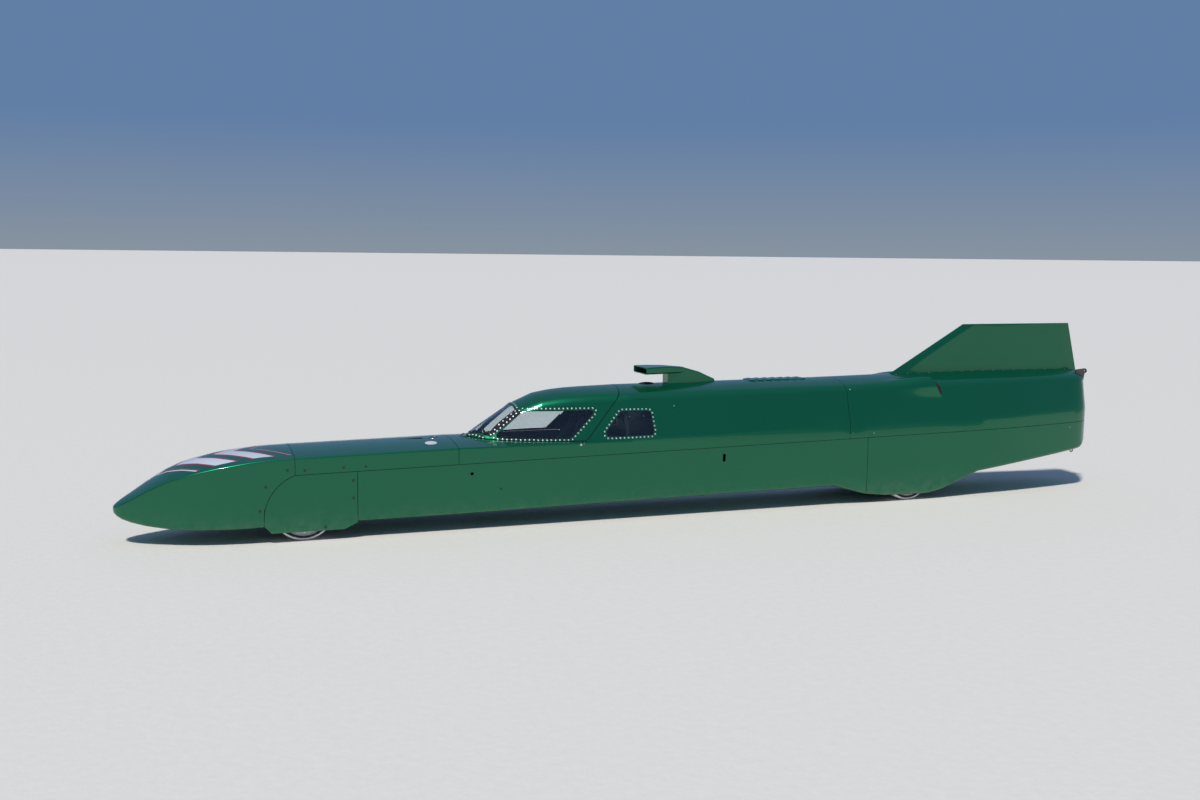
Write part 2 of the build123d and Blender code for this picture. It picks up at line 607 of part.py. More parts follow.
# Tow eyes: two plates standing on the tail's top corners
TOW_Y, TOW_HALF_THICK, TOW_RING, TOW_HOLE = 85, 6, 17, 8
TOW_EYE = (TAIL_X + TOW_RING, 832)
TOW_FOOT_FRONT_X, TOW_FOOT_LOW, TOW_FOOT_HIGH = TAIL_X + 95, 760, 842
tow_foot = [(TOW_FOOT_FRONT_X, TOW_FOOT_LOW), (TOW_FOOT_FRONT_X, TOW_FOOT_HIGH),
            (TOW_EYE[0] + 2, TOW_EYE[1] + TOW_RING), (TOW_EYE[0] + 2, TOW_EYE[1] - TOW_RING),
            (TOW_EYE[0] + 12, TOW_FOOT_LOW)]
tow_plates = [side_prism(tow_foot, side * TOW_Y - TOW_HALF_THICK, side * TOW_Y + TOW_HALF_THICK)
              for name, side in SIDES]
with BuildPart() as tow_eyes:
    add(tow_plates)
    for side_name, side in SIDES:
        with Locations((TOW_EYE[0], side * TOW_Y, TOW_EYE[1])):
            Cylinder(TOW_RING, 2 * TOW_HALF_THICK, rotation=(90, 0, 0))
            Cylinder(TOW_HOLE, 2 * TOW_HALF_THICK + 2, rotation=(90, 0, 0), mode=Mode.SUBTRACT)
    add(lifted_tail, mode=Mode.SUBTRACT)
pieces["tow_eyes"] = tow_eyes

# Lower lugs: two short studs under the tail, for the trailer's straps
LUG_X, LUG_Y, LUG_RADIUS, LUG_LOW, LUG_HIGH = -3228, 96, 8, 258, 330
lowered_tail = Pos(0, 0, -SEAT_GAP) * tail_outer
with BuildPart() as tail_lugs:
    with Locations(*[(LUG_X, side * LUG_Y, (LUG_LOW + LUG_HIGH) / 2) for name, side in SIDES]):
        Cylinder(LUG_RADIUS, LUG_HIGH - LUG_LOW)
    add(lowered_tail, mode=Mode.SUBTRACT)
pieces["tail_lugs"] = tail_lugs

# Side rails of the frame: box tubes behind the seam, which the upper and lower body bolt to
RAIL_WIDTH, RAIL_HALF, RAIL_WALL = 25, 18, 3
BULKHEAD_HALF, PLATE = 15, 5
RAIL_FRONT_X = DECK_FRONT_X - BULKHEAD_HALF - SEAT_GAP
RAIL_REAR_X = TAIL_ZONE_X + 18
rail_outer_y = HALF_WIDTH - WALL - SEAT_GAP
rail_inner_y = rail_outer_y - RAIL_WIDTH


def rail(grow, wall=0):
    """Left rail, grown all round, or the space inside it at a wall's depth."""
    size = RAIL_HALF + grow - wall
    return along_seam(RAIL_FRONT_X + grow, RAIL_REAR_X - grow, -size, size,
                      rail_inner_y - grow + wall, rail_outer_y + grow - wall)


left_rail = rail(0) - rail(0, RAIL_WALL)
with BuildPart() as frame_rails:
    add(left_rail)
    mirror(about=Plane.XZ)
pieces["frame_rails"] = frame_rails
rail_spaces = [rail(SEAT_GAP), mirror(rail(SEAT_GAP), about=Plane.XZ)]

# Solids that fill the hull just inside its walls, which trim what stands against them
inside = WALL + SEAT_GAP
nose_core = deck_zone([(NOSE_X - d, *rest) for d, *rest in NOSE_STATIONS[3:]], inside)
deck_core = deck_zone(DECK_STATIONS, inside)
cabin_core = cabin_zone(CABIN_STATIONS, inside, inside)

# Front bulkhead: a flanged plate across the joint of nose cone and deck, narrow between the wheels
BULKHEAD_LEG_HALF, BULKHEAD_ARCH_Z = 130, 366
tyre_arch_z = 2 * TYRE_RADIUS + 10
flange_front = nose_core & slab(DECK_FRONT_X + BULKHEAD_HALF, DECK_FRONT_X)
flange_rear = deck_core & slab(DECK_FRONT_X, DECK_FRONT_X - BULKHEAD_HALF)
hollow = deck_zone(DECK_STATIONS[:1] + [(DECK_FRONT_X - FAR, *DECK_STATIONS[0][1:])], inside + PLATE)
flange_zone = slab(DECK_FRONT_X + FAR / 2, DECK_FRONT_X - BULKHEAD_HALF + PLATE)
flange_hollow = Pos(FAR / 2, 0, 0) * hollow & flange_zone
with BuildPart() as front_bulkhead:
    add(flange_front)
    add(flange_rear)
    add(flange_hollow, mode=Mode.SUBTRACT)
    for side_name, side in SIDES:
        with Locations((DECK_FRONT_X, side * (BULKHEAD_LEG_HALF + FAR / 2), BULKHEAD_ARCH_Z - FAR / 2)):
            Box(4 * BULKHEAD_HALF, FAR, FAR, mode=Mode.SUBTRACT)
        with Locations((DECK_FRONT_X, side * (BULKHEAD_LEG_HALF + rail_inner_y) / 2, tyre_arch_z / 2)):
            Box(4 * BULKHEAD_HALF, rail_inner_y - BULKHEAD_LEG_HALF, tyre_arch_z, mode=Mode.SUBTRACT)
pieces["front_bulkhead"] = front_bulkhead

# Plates across the body: in front of the driver's feet, behind the driver, and ahead of the tail
FOOTWELL_X = 2005
# Columns: name, place of the front face, the space that it fills
CROSS_PLATES = [
    ("footwell_bulkhead", FOOTWELL_X, deck_core),
    ("firewall", 5, cabin_core),
    ("rear_bulkhead", -1262, cabin_core),
]
for plate_name, plate_x, core in CROSS_PLATES:
    cross_plate = core & slab(plate_x, plate_x - PLATE)
    with BuildPart() as bulkhead:
        add(cross_plate)
        add(rail_spaces, mode=Mode.SUBTRACT)
    pieces[plate_name] = bulkhead

# Roll cage: two hoops standing on the floor, side bars between them and a bar behind the head
CAGE_RADIUS, BAR_RADIUS = 19, 16
MAIN_HOOP_X, DASH_HOOP_X = 335, 1195
HOOP_HEAD_Y, HOOP_SHOULDER_Z, HOOP_TOP_Z, HOOP_BEND = 180, 560, 735, 80
DASH_HOOP_Z, DASH_BEND = 470, 60
SIDE_BAR_HEIGHTS = (150, 330)
HEAD_BAR_Z, HEAD_BAR_INSET = 635, 34.4  # its ends stop inside the hoop's legs
cage_y = rail_inner_y - SEAT_GAP - CAGE_RADIUS


def floor_z(x):
    """Height just above the floor panel in the cockpit."""
    front, rear = DECK_STATIONS[1], DECK_STATIONS[2]
    return rear[2] + (front[2] - rear[2]) * (x - rear[0]) / (front[0] - rear[0]) + inside


def hoop(x, points, bend):
    """Tube bent along points across the car, both feet on the floor."""
    with BuildPart() as tube:
        with BuildLine(at_x(x)) as path:
            FilletPolyline(*points, radius=bend)
        with BuildSketch(Plane(path.line @ 0, z_dir=path.line % 0)):
            Circle(CAGE_RADIUS)
        sweep(path=path.line)
    return tube.part


main_foot, dash_foot = floor_z(MAIN_HOOP_X - CAGE_RADIUS), floor_z(DASH_HOOP_X - CAGE_RADIUS)
main_half = [(HOOP_HEAD_Y, HOOP_TOP_Z), (cage_y, HOOP_SHOULDER_Z), (cage_y, main_foot)]
dash_half = [(cage_y, DASH_HOOP_Z), (cage_y, dash_foot)]
main_hoop = hoop(MAIN_HOOP_X, [(-y, z) for y, z in reversed(main_half)] + main_half, HOOP_BEND)
dash_hoop = hoop(DASH_HOOP_X, [(-y, z) for y, z in reversed(dash_half)] + dash_half, DASH_BEND)
with BuildPart() as roll_cage:
    add(main_hoop)
    add(dash_hoop)
    for side_name, side in SIDES:
        for bar_z in SIDE_BAR_HEIGHTS:
            with Locations(((MAIN_HOOP_X + DASH_HOOP_X) / 2, side * cage_y, bar_z)):
                Cylinder(BAR_RADIUS, DASH_HOOP_X - MAIN_HOOP_X, rotation=(0, 90, 0))
    with Locations((MAIN_HOOP_X, 0, HEAD_BAR_Z)):
        Cylinder(BAR_RADIUS, 2 * (cage_y - HEAD_BAR_INSET), rotation=(90, 0, 0))
pieces["roll_cage"] = roll_cage

# Seat: a reclined open shell on two runners, its pad, and the headrest on the cage's bar
SEAT_HALF, SEAT_SIDE, SEAT_SHIFT = 186, 5, (4, 0, 6)
SEAT_OUTLINE = [(1020, 200), (930, 146), (775, 140), (465, 602), (540, 640), (720, 360), (1000, 285)]
PAD_SHIFT = (28, 0, 30)
RUNNER_X, RUNNER_LONG, RUNNER_Y, RUNNER_WIDTH, RUNNER_Z, RUNNER_HIGH = 850, 130, 120, 30, 105, 78
seat_space = Pos(*SEAT_SHIFT) * side_prism(SEAT_OUTLINE, SEAT_SIDE - SEAT_HALF, SEAT_HALF - SEAT_SIDE)
runner_zone = slab(RUNNER_X + RUNNER_LONG / 2, RUNNER_X - RUNNER_LONG / 2) & deck_core
with BuildPart() as runner_blanks:
    with Locations(*[(RUNNER_X, side * RUNNER_Y, RUNNER_Z) for name, side in SIDES]):
        Box(RUNNER_LONG, RUNNER_WIDTH, RUNNER_HIGH)
runners = runner_blanks.part & runner_zone
seat_blank = side_prism(SEAT_OUTLINE, -SEAT_HALF, SEAT_HALF)
with BuildPart() as seat_shell:
    add(seat_blank)
    add(runners)
    add(seat_space, mode=Mode.SUBTRACT)
pieces["seat_shell"] = seat_shell
pad_half = SEAT_HALF - SEAT_SIDE - SEAT_GAP
pad_offset = Pos(SEAT_SHIFT[0] + SEAT_GAP, 0, SEAT_SHIFT[2] + SEAT_GAP)
pad_blank = pad_offset * side_prism(SEAT_OUTLINE, -pad_half, pad_half)
pad_space = pad_offset * Pos(*PAD_SHIFT) * side_prism(SEAT_OUTLINE, -FAR, FAR)
pad_solid = pad_blank - pad_space
with BuildPart() as seat_pad:
    add(pad_solid)
pieces["seat_pad"] = seat_pad
HEADREST_FRONT_X, HEADREST_HALF, HEADREST_LOW, HEADREST_HIGH, HEADREST_EDGE = 430, 85, 572, 700, 14
headrest_rear_x = MAIN_HOOP_X + BAR_RADIUS + SEAT_GAP
with BuildPart() as headrest:
    with BuildSketch(at_x(headrest_rear_x)):
        with Locations((0, (HEADREST_LOW + HEADREST_HIGH) / 2)):
            RectangleRounded(2 * HEADREST_HALF, HEADREST_HIGH - HEADREST_LOW, HEADREST_EDGE)
    extrude(amount=HEADREST_FRONT_X - headrest_rear_x)
pieces["headrest"] = headrest

# Dash panel on the dash hoop, with the steering column through it
STEER_Z, COLUMN_RADIUS, SHAFT_RADIUS = 426, 16, 8
DASH_LOW, DASH_HIGH, DASH_HALF, DASH_THICK, DASH_CORNER = 376, 486, 205, 4, 30
dash_front_x = DASH_HOOP_X - CAGE_RADIUS - SEAT_GAP
with BuildPart() as dash_panel:
    with BuildSketch(at_x(dash_front_x - DASH_THICK)):
        with Locations((0, (DASH_LOW + DASH_HIGH) / 2)):
            RectangleRounded(2 * DASH_HALF, DASH_HIGH - DASH_LOW, DASH_CORNER)
        with Locations((0, STEER_Z)):
            Circle(COLUMN_RADIUS + SEAT_GAP, mode=Mode.SUBTRACT)
    extrude(amount=DASH_THICK)
pieces["dash_panel"] = dash_panel

COLUMN_REAR_X, COLUMN_FRONT_X, COLUMN_FLANGE, WHEEL_GAP = 1112, 1240, 26, 6
with BuildPart() as steering_column:
    with BuildSketch(at_x(COLUMN_REAR_X)):
        with Locations((0, STEER_Z)):
            Circle(COLUMN_RADIUS)
    extrude(amount=COLUMN_FRONT_X - COLUMN_REAR_X)
    with BuildSketch(at_x(dash_front_x - DASH_THICK - SEAT_GAP - PLATE)):
        with Locations((0, STEER_Z)):
            Circle(COLUMN_FLANGE)
    extrude(amount=PLATE)
    with BuildSketch(at_x(COLUMN_REAR_X)):
        with Locations((0, STEER_Z)):
            Circle(SHAFT_RADIUS + RUN)
    extrude(amount=COLUMN_FRONT_X - COLUMN_REAR_X, mode=Mode.SUBTRACT)
pieces["steering_column"] = steering_column

# Steering wheel: a cross bar with two upright grips on its shaft
HUB_RADIUS, HUB_LONG, SPOKE_HALF = 24, 20, 11
GRIP_Y, GRIP_RADIUS, GRIP_HALF, GRIP_EDGE = 112, 12, 52, 4
hub_rear_x = COLUMN_REAR_X - WHEEL_GAP - HUB_LONG
with BuildPart() as steering_wheel:
    with BuildSketch(at_x(hub_rear_x)):
        with Locations((0, STEER_Z)):
            Circle(HUB_RADIUS)
    extrude(amount=HUB_LONG)
    with BuildSketch(at_x(hub_rear_x)):
        with Locations((0, STEER_Z)):
            Circle(SHAFT_RADIUS)
    extrude(amount=HUB_LONG + COLUMN_FRONT_X - COLUMN_REAR_X)
    with Locations((hub_rear_x + HUB_LONG / 2, 0, STEER_Z)):
        Box(HUB_LONG / 2, 2 * GRIP_Y, 2 * SPOKE_HALF)
    with Locations(*[(hub_rear_x + HUB_LONG / 2, side * GRIP_Y, STEER_Z) for name, side in SIDES]):
        Cylinder(GRIP_RADIUS, 2 * GRIP_HALF)
    chamfer(steering_wheel.edges().filter_by(GeomType.CIRCLE).group_by(Axis.Z)[-1], GRIP_EDGE)
    chamfer(steering_wheel.edges().filter_by(GeomType.CIRCLE).group_by(Axis.Z)[0], GRIP_EDGE)
pieces["steering_wheel"] = steering_wheel

# Engine: one plain block where it stands, part of the way from the middle to the rear axle
ENGINE_SHARE, ENGINE_LONG, ENGINE_HALF, ENGINE_TOP = 485 / 1722, 420, 190, 540
engine_front_x = ENGINE_SHARE * REAR_AXLE_X
engine_body = cabin_core & block(engine_front_x, engine_front_x - ENGINE_LONG, ENGINE_HALF, 0, ENGINE_TOP)
with BuildPart() as engine_block:
    add(engine_body)
pieces["engine_block"] = engine_block

# Front axle: a tube with a yoke and kingpin at each end, and two links that hold it to the bulkheads
WHEEL_Z = TYRE_RADIUS
KINGPIN_Y, KINGPIN_RADIUS = 140, 9
YOKE_LOW, YOKE_HIGH, YOKE_RADIUS, YOKE_ROOT_Y, YOKE_WEB = 24, 34, 16, 90, 14
BEAM_RADIUS = 22
LINK_Y, LINK_WIDTH, LINK_HALF, LINK_DROP = 66, 12, 12, 6
KINGPIN_END = 3  # the kingpin stands this far out of each yoke plate
link_front_x = DECK_FRONT_X - BULKHEAD_HALF - SEAT_GAP
link_rear_x = FOOTWELL_X + SEAT_GAP
link_middle = (link_front_x + link_rear_x) / 2
with BuildPart() as front_axle_beam:
    with Locations((FRONT_AXLE_X, 0, WHEEL_Z)):
        Cylinder(BEAM_RADIUS, 2 * YOKE_ROOT_Y, rotation=(90, 0, 0))
    with Locations(*[(link_middle, side * LINK_Y, WHEEL_Z - LINK_DROP) for name, side in SIDES]):
        Box(link_front_x - link_rear_x, LINK_WIDTH, 2 * LINK_HALF)
    for side_name, side in SIDES:
        for plate_z in (WHEEL_Z + YOKE_LOW, WHEEL_Z - YOKE_HIGH):
            with BuildSketch(Plane.XY.offset(plate_z)):
                with Locations((FRONT_AXLE_X, side * (YOKE_ROOT_Y + KINGPIN_Y) / 2)):
                    Rectangle(2 * YOKE_RADIUS, KINGPIN_Y - YOKE_ROOT_Y)
                with Locations((FRONT_AXLE_X, side * KINGPIN_Y)):
                    Circle(YOKE_RADIUS)
            extrude(amount=YOKE_HIGH - YOKE_LOW)
        with Locations((FRONT_AXLE_X, side * (YOKE_ROOT_Y + YOKE_WEB / 2), WHEEL_Z)):
            Box(2 * YOKE_RADIUS, YOKE_WEB, 2 * YOKE_HIGH)
        with Locations((FRONT_AXLE_X, side * KINGPIN_Y, WHEEL_Z)):
            Cylinder(KINGPIN_RADIUS, 2 * (YOKE_HIGH + KINGPIN_END))
pieces["front_axle_beam"] = front_axle_beam

# Knuckles: a boss on the kingpin, a spindle for the wheel and an arm back to the tie rod
BOSS_SIDE_GAP = 0.5
BOSS_RADIUS, BOSS_HALF = 17, YOKE_LOW - BOSS_SIDE_GAP
SPINDLE_RADIUS, SPINDLE_START_Y, SPINDLE_END_Y = 15, KINGPIN_Y + 5, 242
STEER_ARM, STEER_ARM_HALF_WIDTH, STEER_ARM_HALF, EYE_RADIUS, EYE_HOLE = 90, 8, 7, 11, 7
for side_name, side in SIDES:
    kingpin = (FRONT_AXLE_X, side * KINGPIN_Y)
    eye = (FRONT_AXLE_X - STEER_ARM, side * KINGPIN_Y)
    with BuildPart() as knuckle:
        with BuildSketch(Plane.XY.offset(WHEEL_Z - STEER_ARM_HALF)):
            with Locations((FRONT_AXLE_X - STEER_ARM / 2, side * KINGPIN_Y)):
                Rectangle(STEER_ARM, 2 * STEER_ARM_HALF_WIDTH)
            with Locations(eye):
                Circle(EYE_RADIUS)
        extrude(amount=2 * STEER_ARM_HALF)
        with Locations((*kingpin, WHEEL_Z)):
            Cylinder(BOSS_RADIUS, 2 * BOSS_HALF)
        with Locations((FRONT_AXLE_X, side * (SPINDLE_START_Y + SPINDLE_END_Y) / 2, WHEEL_Z)):
            Cylinder(SPINDLE_RADIUS, SPINDLE_END_Y - SPINDLE_START_Y, rotation=(90, 0, 0))
        with Locations((*eye, WHEEL_Z)):
            Cylinder(EYE_HOLE, 3 * STEER_ARM_HALF, mode=Mode.SUBTRACT)
        with Locations((*kingpin, WHEEL_Z)):
            Cylinder(KINGPIN_RADIUS + RUN, 3 * BOSS_HALF, mode=Mode.SUBTRACT)
    pieces[f"knuckle_{side_name}"] = knuckle

# Tie rod over the links, with a pin down through each arm's eye
TIE_RADIUS, TIE_PIN_RADIUS, TIE_RISE, TIE_BOSS, TIE_PIN_END = 7, 5, 24, 9, 4
tie_x, tie_z = FRONT_AXLE_X - STEER_ARM, WHEEL_Z + TIE_RISE
boss_low, boss_high = WHEEL_Z + STEER_ARM_HALF + SEAT_GAP, tie_z + TIE_BOSS
pin_low = WHEEL_Z - STEER_ARM_HALF - TIE_PIN_END
with BuildPart() as tie_rod:
    with Locations((tie_x, 0, tie_z)):
        Cylinder(TIE_RADIUS, 2 * KINGPIN_Y, rotation=(90, 0, 0))
    with Locations(*[(tie_x, side * KINGPIN_Y, (boss_low + boss_high) / 2) for name, side in SIDES]):
        Cylinder(TIE_BOSS, boss_high - boss_low)
    with Locations(*[(tie_x, side * KINGPIN_Y, (tie_z + pin_low) / 2) for name, side in SIDES]):
        Cylinder(TIE_PIN_RADIUS, tie_z - pin_low)
pieces["tie_rod"] = tie_rod

# Wheels with flat outer discs, and tyres. Columns: name, axle, side, tyre width, spindle radius,
# inner end of the hub
DISC, BARREL, HUB_OUTER, TYRE_EDGE, DISC_RADIUS = 8, 12, 44, 11, 141
DISC_RECESS, RIM_STEP, RIM_INSET = 5, 4, 2  # disc behind the tyre's face, rim's edge, rim's inner end
WHEELS = [
    ("front", FRONT_AXLE_X, FRONT_TYRE_WIDTH, SPINDLE_RADIUS, 200),
    ("rear", REAR_AXLE_X, REAR_TYRE_WIDTH, 20, 150),
]
for axle_name, axle_x, tyre_width, shaft_radius, hub_y in WHEELS:
    for side_name, side in SIDES:
        wheel_plane = Plane(origin=(axle_x, 0, WHEEL_Z), x_dir=(0, side, 0), z_dir=(side, 0, 0))
        axle = Axis((axle_x, 0, WHEEL_Z), (0, 1, 0))
        face_y = TYRE_FACE_Y - DISC_RECESS
        disc_y = face_y - DISC
        inner_y = TYRE_FACE_Y - tyre_width + RIM_INSET
        bore = shaft_radius + RUN
        profile = [(face_y, 0), (face_y, DISC_RADIUS), (face_y + RIM_STEP, RIM_RADIUS), (inner_y, RIM_RADIUS),
                   (inner_y, RIM_RADIUS - BARREL), (disc_y, RIM_RADIUS - BARREL), (disc_y, HUB_OUTER),
                   (hub_y, HUB_OUTER), (hub_y, bore), (disc_y, bore), (disc_y, 0)]
        with BuildPart() as wheel:
            with BuildSketch(wheel_plane):
                with BuildLine():
                    Polyline(*profile, close=True)
                make_face()
            revolve(axis=axle)
        pieces[f"{axle_name}_wheel_{side_name}"] = wheel
        with BuildPart() as tyre:
            with BuildSketch(wheel_plane) as tread:
                with Locations((TYRE_FACE_Y - tyre_width / 2, (TYRE_RADIUS + RIM_RADIUS + SEAT_GAP) / 2)):
                    Rectangle(tyre_width, TYRE_RADIUS - RIM_RADIUS - SEAT_GAP)
                chamfer(tread.vertices().sort_by(Axis.Y)[-2:], TYRE_EDGE)
            revolve(axis=axle)
        pieces[f"{axle_name}_tyre_{side_name}"] = tyre

# Rear axle: one live shaft in two bearing plates that stand on the floor
REAR_SHAFT_RADIUS = WHEELS[1][3]
CARRIER_Y, CARRIER_THICK, CARRIER_LONG, CARRIER_TOP_LONG, CARRIER_HIGH = 95, 12, 150, 80, 240
carrier_front_x, carrier_rear_x = REAR_AXLE_X + CARRIER_LONG / 2, REAR_AXLE_X - CARRIER_LONG / 2
carrier_outline = [(carrier_front_x, 0), (REAR_AXLE_X + CARRIER_TOP_LONG / 2, CARRIER_HIGH),
                   (REAR_AXLE_X - CARRIER_TOP_LONG / 2, CARRIER_HIGH), (carrier_rear_x, 0)]
with BuildPart() as rear_axle:
    with Locations((REAR_AXLE_X, 0, WHEEL_Z)):
        Cylinder(REAR_SHAFT_RADIUS, 2 * SPINDLE_END_Y, rotation=(90, 0, 0))
pieces["rear_axle"] = rear_axle
carrier_zone = cabin_core & block(carrier_front_x, carrier_rear_x, FAR, 0, CARRIER_HIGH)
carrier_blanks = [
    side_prism(carrier_outline, side * CARRIER_Y - CARRIER_THICK / 2, side * CARRIER_Y + CARRIER_THICK / 2)
    for name, side in SIDES
]
carrier_plates = [blank & carrier_zone for blank in carrier_blanks]
with BuildPart() as axle_carriers:
    add(carrier_plates)
    with Locations((REAR_AXLE_X, 0, WHEEL_Z)):
        Cylinder(REAR_SHAFT_RADIUS + RUN, 4 * CARRIER_Y, rotation=(90, 0, 0), mode=Mode.SUBTRACT)
pieces["axle_carriers"] = axle_carriers

os.makedirs("parts", exist_ok=True)
for name, piece in pieces.items():
    piece.part.label = name
    export_step(piece.part, f"parts/{name}.step")
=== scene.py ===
# %% [markdown]
# # A land speed streamliner, finished for a picture
# The car is packed as plain solids at their real size. This lesson loads them as a fixed frame and gives
# each one its looks: glossy metallic paint, rows of screws, glass, cloth, and salt from the lake bed.
# Distances are metres. X points forward, Y to the driver's left, Z up, and the ground is at zero.

# %% Load the frame
import json
from math import atan2, cos, pi, radians, sin, tan

import bmesh
import bpy
from mathutils import Matrix, Vector
from mathutils.bvhtree import BVHTree


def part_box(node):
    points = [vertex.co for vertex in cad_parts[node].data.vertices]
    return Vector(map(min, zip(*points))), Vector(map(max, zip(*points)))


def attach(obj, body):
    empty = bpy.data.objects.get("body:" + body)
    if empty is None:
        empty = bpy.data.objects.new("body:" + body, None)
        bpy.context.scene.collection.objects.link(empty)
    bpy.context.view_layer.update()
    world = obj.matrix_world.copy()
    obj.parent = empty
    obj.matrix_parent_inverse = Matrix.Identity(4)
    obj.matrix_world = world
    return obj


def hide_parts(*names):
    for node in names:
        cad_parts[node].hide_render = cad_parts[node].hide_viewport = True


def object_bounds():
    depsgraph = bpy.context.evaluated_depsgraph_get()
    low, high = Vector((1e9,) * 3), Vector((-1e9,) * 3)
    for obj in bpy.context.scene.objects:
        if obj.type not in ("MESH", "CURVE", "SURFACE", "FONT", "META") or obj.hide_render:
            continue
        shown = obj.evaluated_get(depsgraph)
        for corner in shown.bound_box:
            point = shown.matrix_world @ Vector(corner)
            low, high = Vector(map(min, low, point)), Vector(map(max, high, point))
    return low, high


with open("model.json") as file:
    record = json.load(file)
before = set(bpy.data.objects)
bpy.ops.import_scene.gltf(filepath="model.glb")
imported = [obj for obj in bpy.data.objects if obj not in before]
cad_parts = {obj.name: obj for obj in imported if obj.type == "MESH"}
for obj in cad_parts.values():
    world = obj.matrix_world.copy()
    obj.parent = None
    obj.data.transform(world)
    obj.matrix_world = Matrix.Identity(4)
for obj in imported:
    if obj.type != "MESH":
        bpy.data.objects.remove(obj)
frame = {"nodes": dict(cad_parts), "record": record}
cad_size = [list(corner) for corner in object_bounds()]
nodes = frame["nodes"]
bodies = frame["record"]["behaviour"]["bodies"]
body_of = {node: body for body, members in bodies.items() for node in members}
SIDES = (("left", 1), ("right", -1))
print("frame box", cad_size)

# %% [markdown]
# ## The camera
# The camera stands off the car's front left corner, at eye height. A camera looks down its own -Z axis
# with +Y up, so its matrix is built from three unit vectors in the car's frame.

# %% Camera
CAMERA_AT = Vector((3.165, 7.41, 1.65))
LOOK = Vector((-0.3441, -0.9317, -0.1167))
RIGHT = Vector((-0.9384, 0.3453, 0.0104))
SENSOR_WIDE, LENS_LONG = 36.0, 37.5
lens = bpy.data.cameras.new("camera")
lens.sensor_width, lens.lens = SENSOR_WIDE, LENS_LONG
camera = bpy.data.objects.new("camera", lens)
bpy.context.scene.collection.objects.link(camera)
back = -LOOK.normalized()
right = (RIGHT - RIGHT.project(back)).normalized()
up = back.cross(right)
camera.matrix_world = Matrix.Translation(CAMERA_AT) @ Matrix((right, up, back)).transposed().to_4x4()
bpy.context.scene.camera = camera
print("camera", tuple(round(v, 3) for v in camera.location))

# %% [markdown]
# ## Tools for modelling by hand
# Operators act on whatever is selected, and the frame arrives selected. So each step first picks exactly
# the objects, faces or edges it needs.

# %% Selecting
def nothing_selected():
    """Object mode, with nothing selected."""
    if bpy.context.object and bpy.context.object.mode != "OBJECT":
        bpy.ops.object.mode_set(mode="OBJECT")
    bpy.ops.object.select_all(action="DESELECT")


def only(*items):
    """Object mode, with exactly these objects selected and the last one active."""
    nothing_selected()
    for item in items:
        item.select_set(True)
    bpy.context.view_layer.objects.active = items[-1]


def pick(obj, wanted, kind="FACE"):
    """Edit mode, with exactly the faces or edges selected that wanted() accepts."""
    only(obj)
    bpy.ops.object.mode_set(mode="EDIT")
    bpy.ops.mesh.select_mode(type=kind)
    bpy.ops.mesh.select_all(action="DESELECT")
    shape = bmesh.from_edit_mesh(obj.data)
    for item in (shape.faces if kind == "FACE" else shape.edges):
        if wanted(item):
            item.select_set(True)
    bmesh.update_edit_mesh(obj.data)


def on_all(obj, operator, **settings):
    """One edit-mode operator on all of an object."""
    only(obj)
    bpy.ops.object.mode_set(mode="EDIT")
    bpy.ops.mesh.select_all(action="SELECT")
    operator(**settings)
    bpy.ops.object.mode_set(mode="OBJECT")


# %% [markdown]
# A finished piece sits at the origin, unturned and unscaled, with its place in its mesh, as the frame's own
# pieces do. So every helper that moves or scales something applies that at once.

# %% Starting, placing and finishing a piece
def start(operator, name, **settings):
    """A new primitive with a name of its own, alone in the selection."""
    nothing_selected()
    operator(**settings)
    bpy.context.object.name = bpy.context.object.data.name = name
    return bpy.context.object


def applied(obj):
    """Put an object's place, turn and size into its mesh."""
    only(obj)
    bpy.ops.object.transform_apply(location=True, rotation=True, scale=True)
    return obj


def settle(obj, sharp=30):
    """Apply modifiers and place, and shade the object smooth up to an angle."""
    only(obj)
    for modifier in list(obj.modifiers):
        bpy.ops.object.modifier_apply(modifier=modifier.name)
    applied(obj)
    bpy.ops.object.shade_smooth_by_angle(angle=radians(sharp))
    return obj


def placed(obj, *place):
    """Move an object."""
    obj.location = place
    return applied(obj)


def scaled(obj, *factors):
    """Scale an object along each axis. A mirrored one has its faces turned outwards again."""
    obj.scale = factors
    applied(obj)
    if min(factors) < 0:
        on_all(obj, bpy.ops.mesh.normals_make_consistent, inside=False)
    return obj


def block(name, size, centre=(0, 0, 0), turn=0):
    """A box of a size at a place, turned about Z."""
    box = start(bpy.ops.mesh.primitive_cube_add, name, size=1, location=centre, rotation=(0, 0, turn))
    box.scale = size
    return settle(box)


def bevelled(obj, offset, segments, wanted=lambda edge: True):
    """Round off the edges that wanted() accepts."""
    pick(obj, wanted, "EDGE")
    bpy.ops.mesh.bevel(offset=offset, segments=segments, affect="EDGES")
    return settle(obj)


def joined(name, parts):
    """One object made of several."""
    only(*parts)
    if len(parts) > 1:
        bpy.ops.object.join()
    bpy.context.object.name = bpy.context.object.data.name = name
    return bpy.context.object


def finish_piece(obj, body, material, slot):
    """Give a new piece its material and its body. The slot is not used."""
    obj.data.materials.clear()
    obj.data.materials.append(material)
    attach(obj, body)
    return obj


# %% [markdown]
# ## Shader groups
# Salt film, brushed grain, weave and the ripple of sprayed paint are each used by several materials, so
# each is a node group. A group puts out only what varies over the surface: a mask or a height.

# %% Group tools
def new_group(name, inputs, outputs):
    """An empty group with number inputs and named outputs."""
    group = bpy.data.node_groups.new(name, "ShaderNodeTree")
    for label, value in inputs:
        socket = group.interface.new_socket(label, in_out="INPUT", socket_type="NodeSocketFloat")
        socket.default_value = value
    for label in outputs:
        group.interface.new_socket(label, in_out="OUTPUT", socket_type="NodeSocketFloat")
    return group, group.nodes.new("NodeGroupInput"), group.nodes.new("NodeGroupOutput")


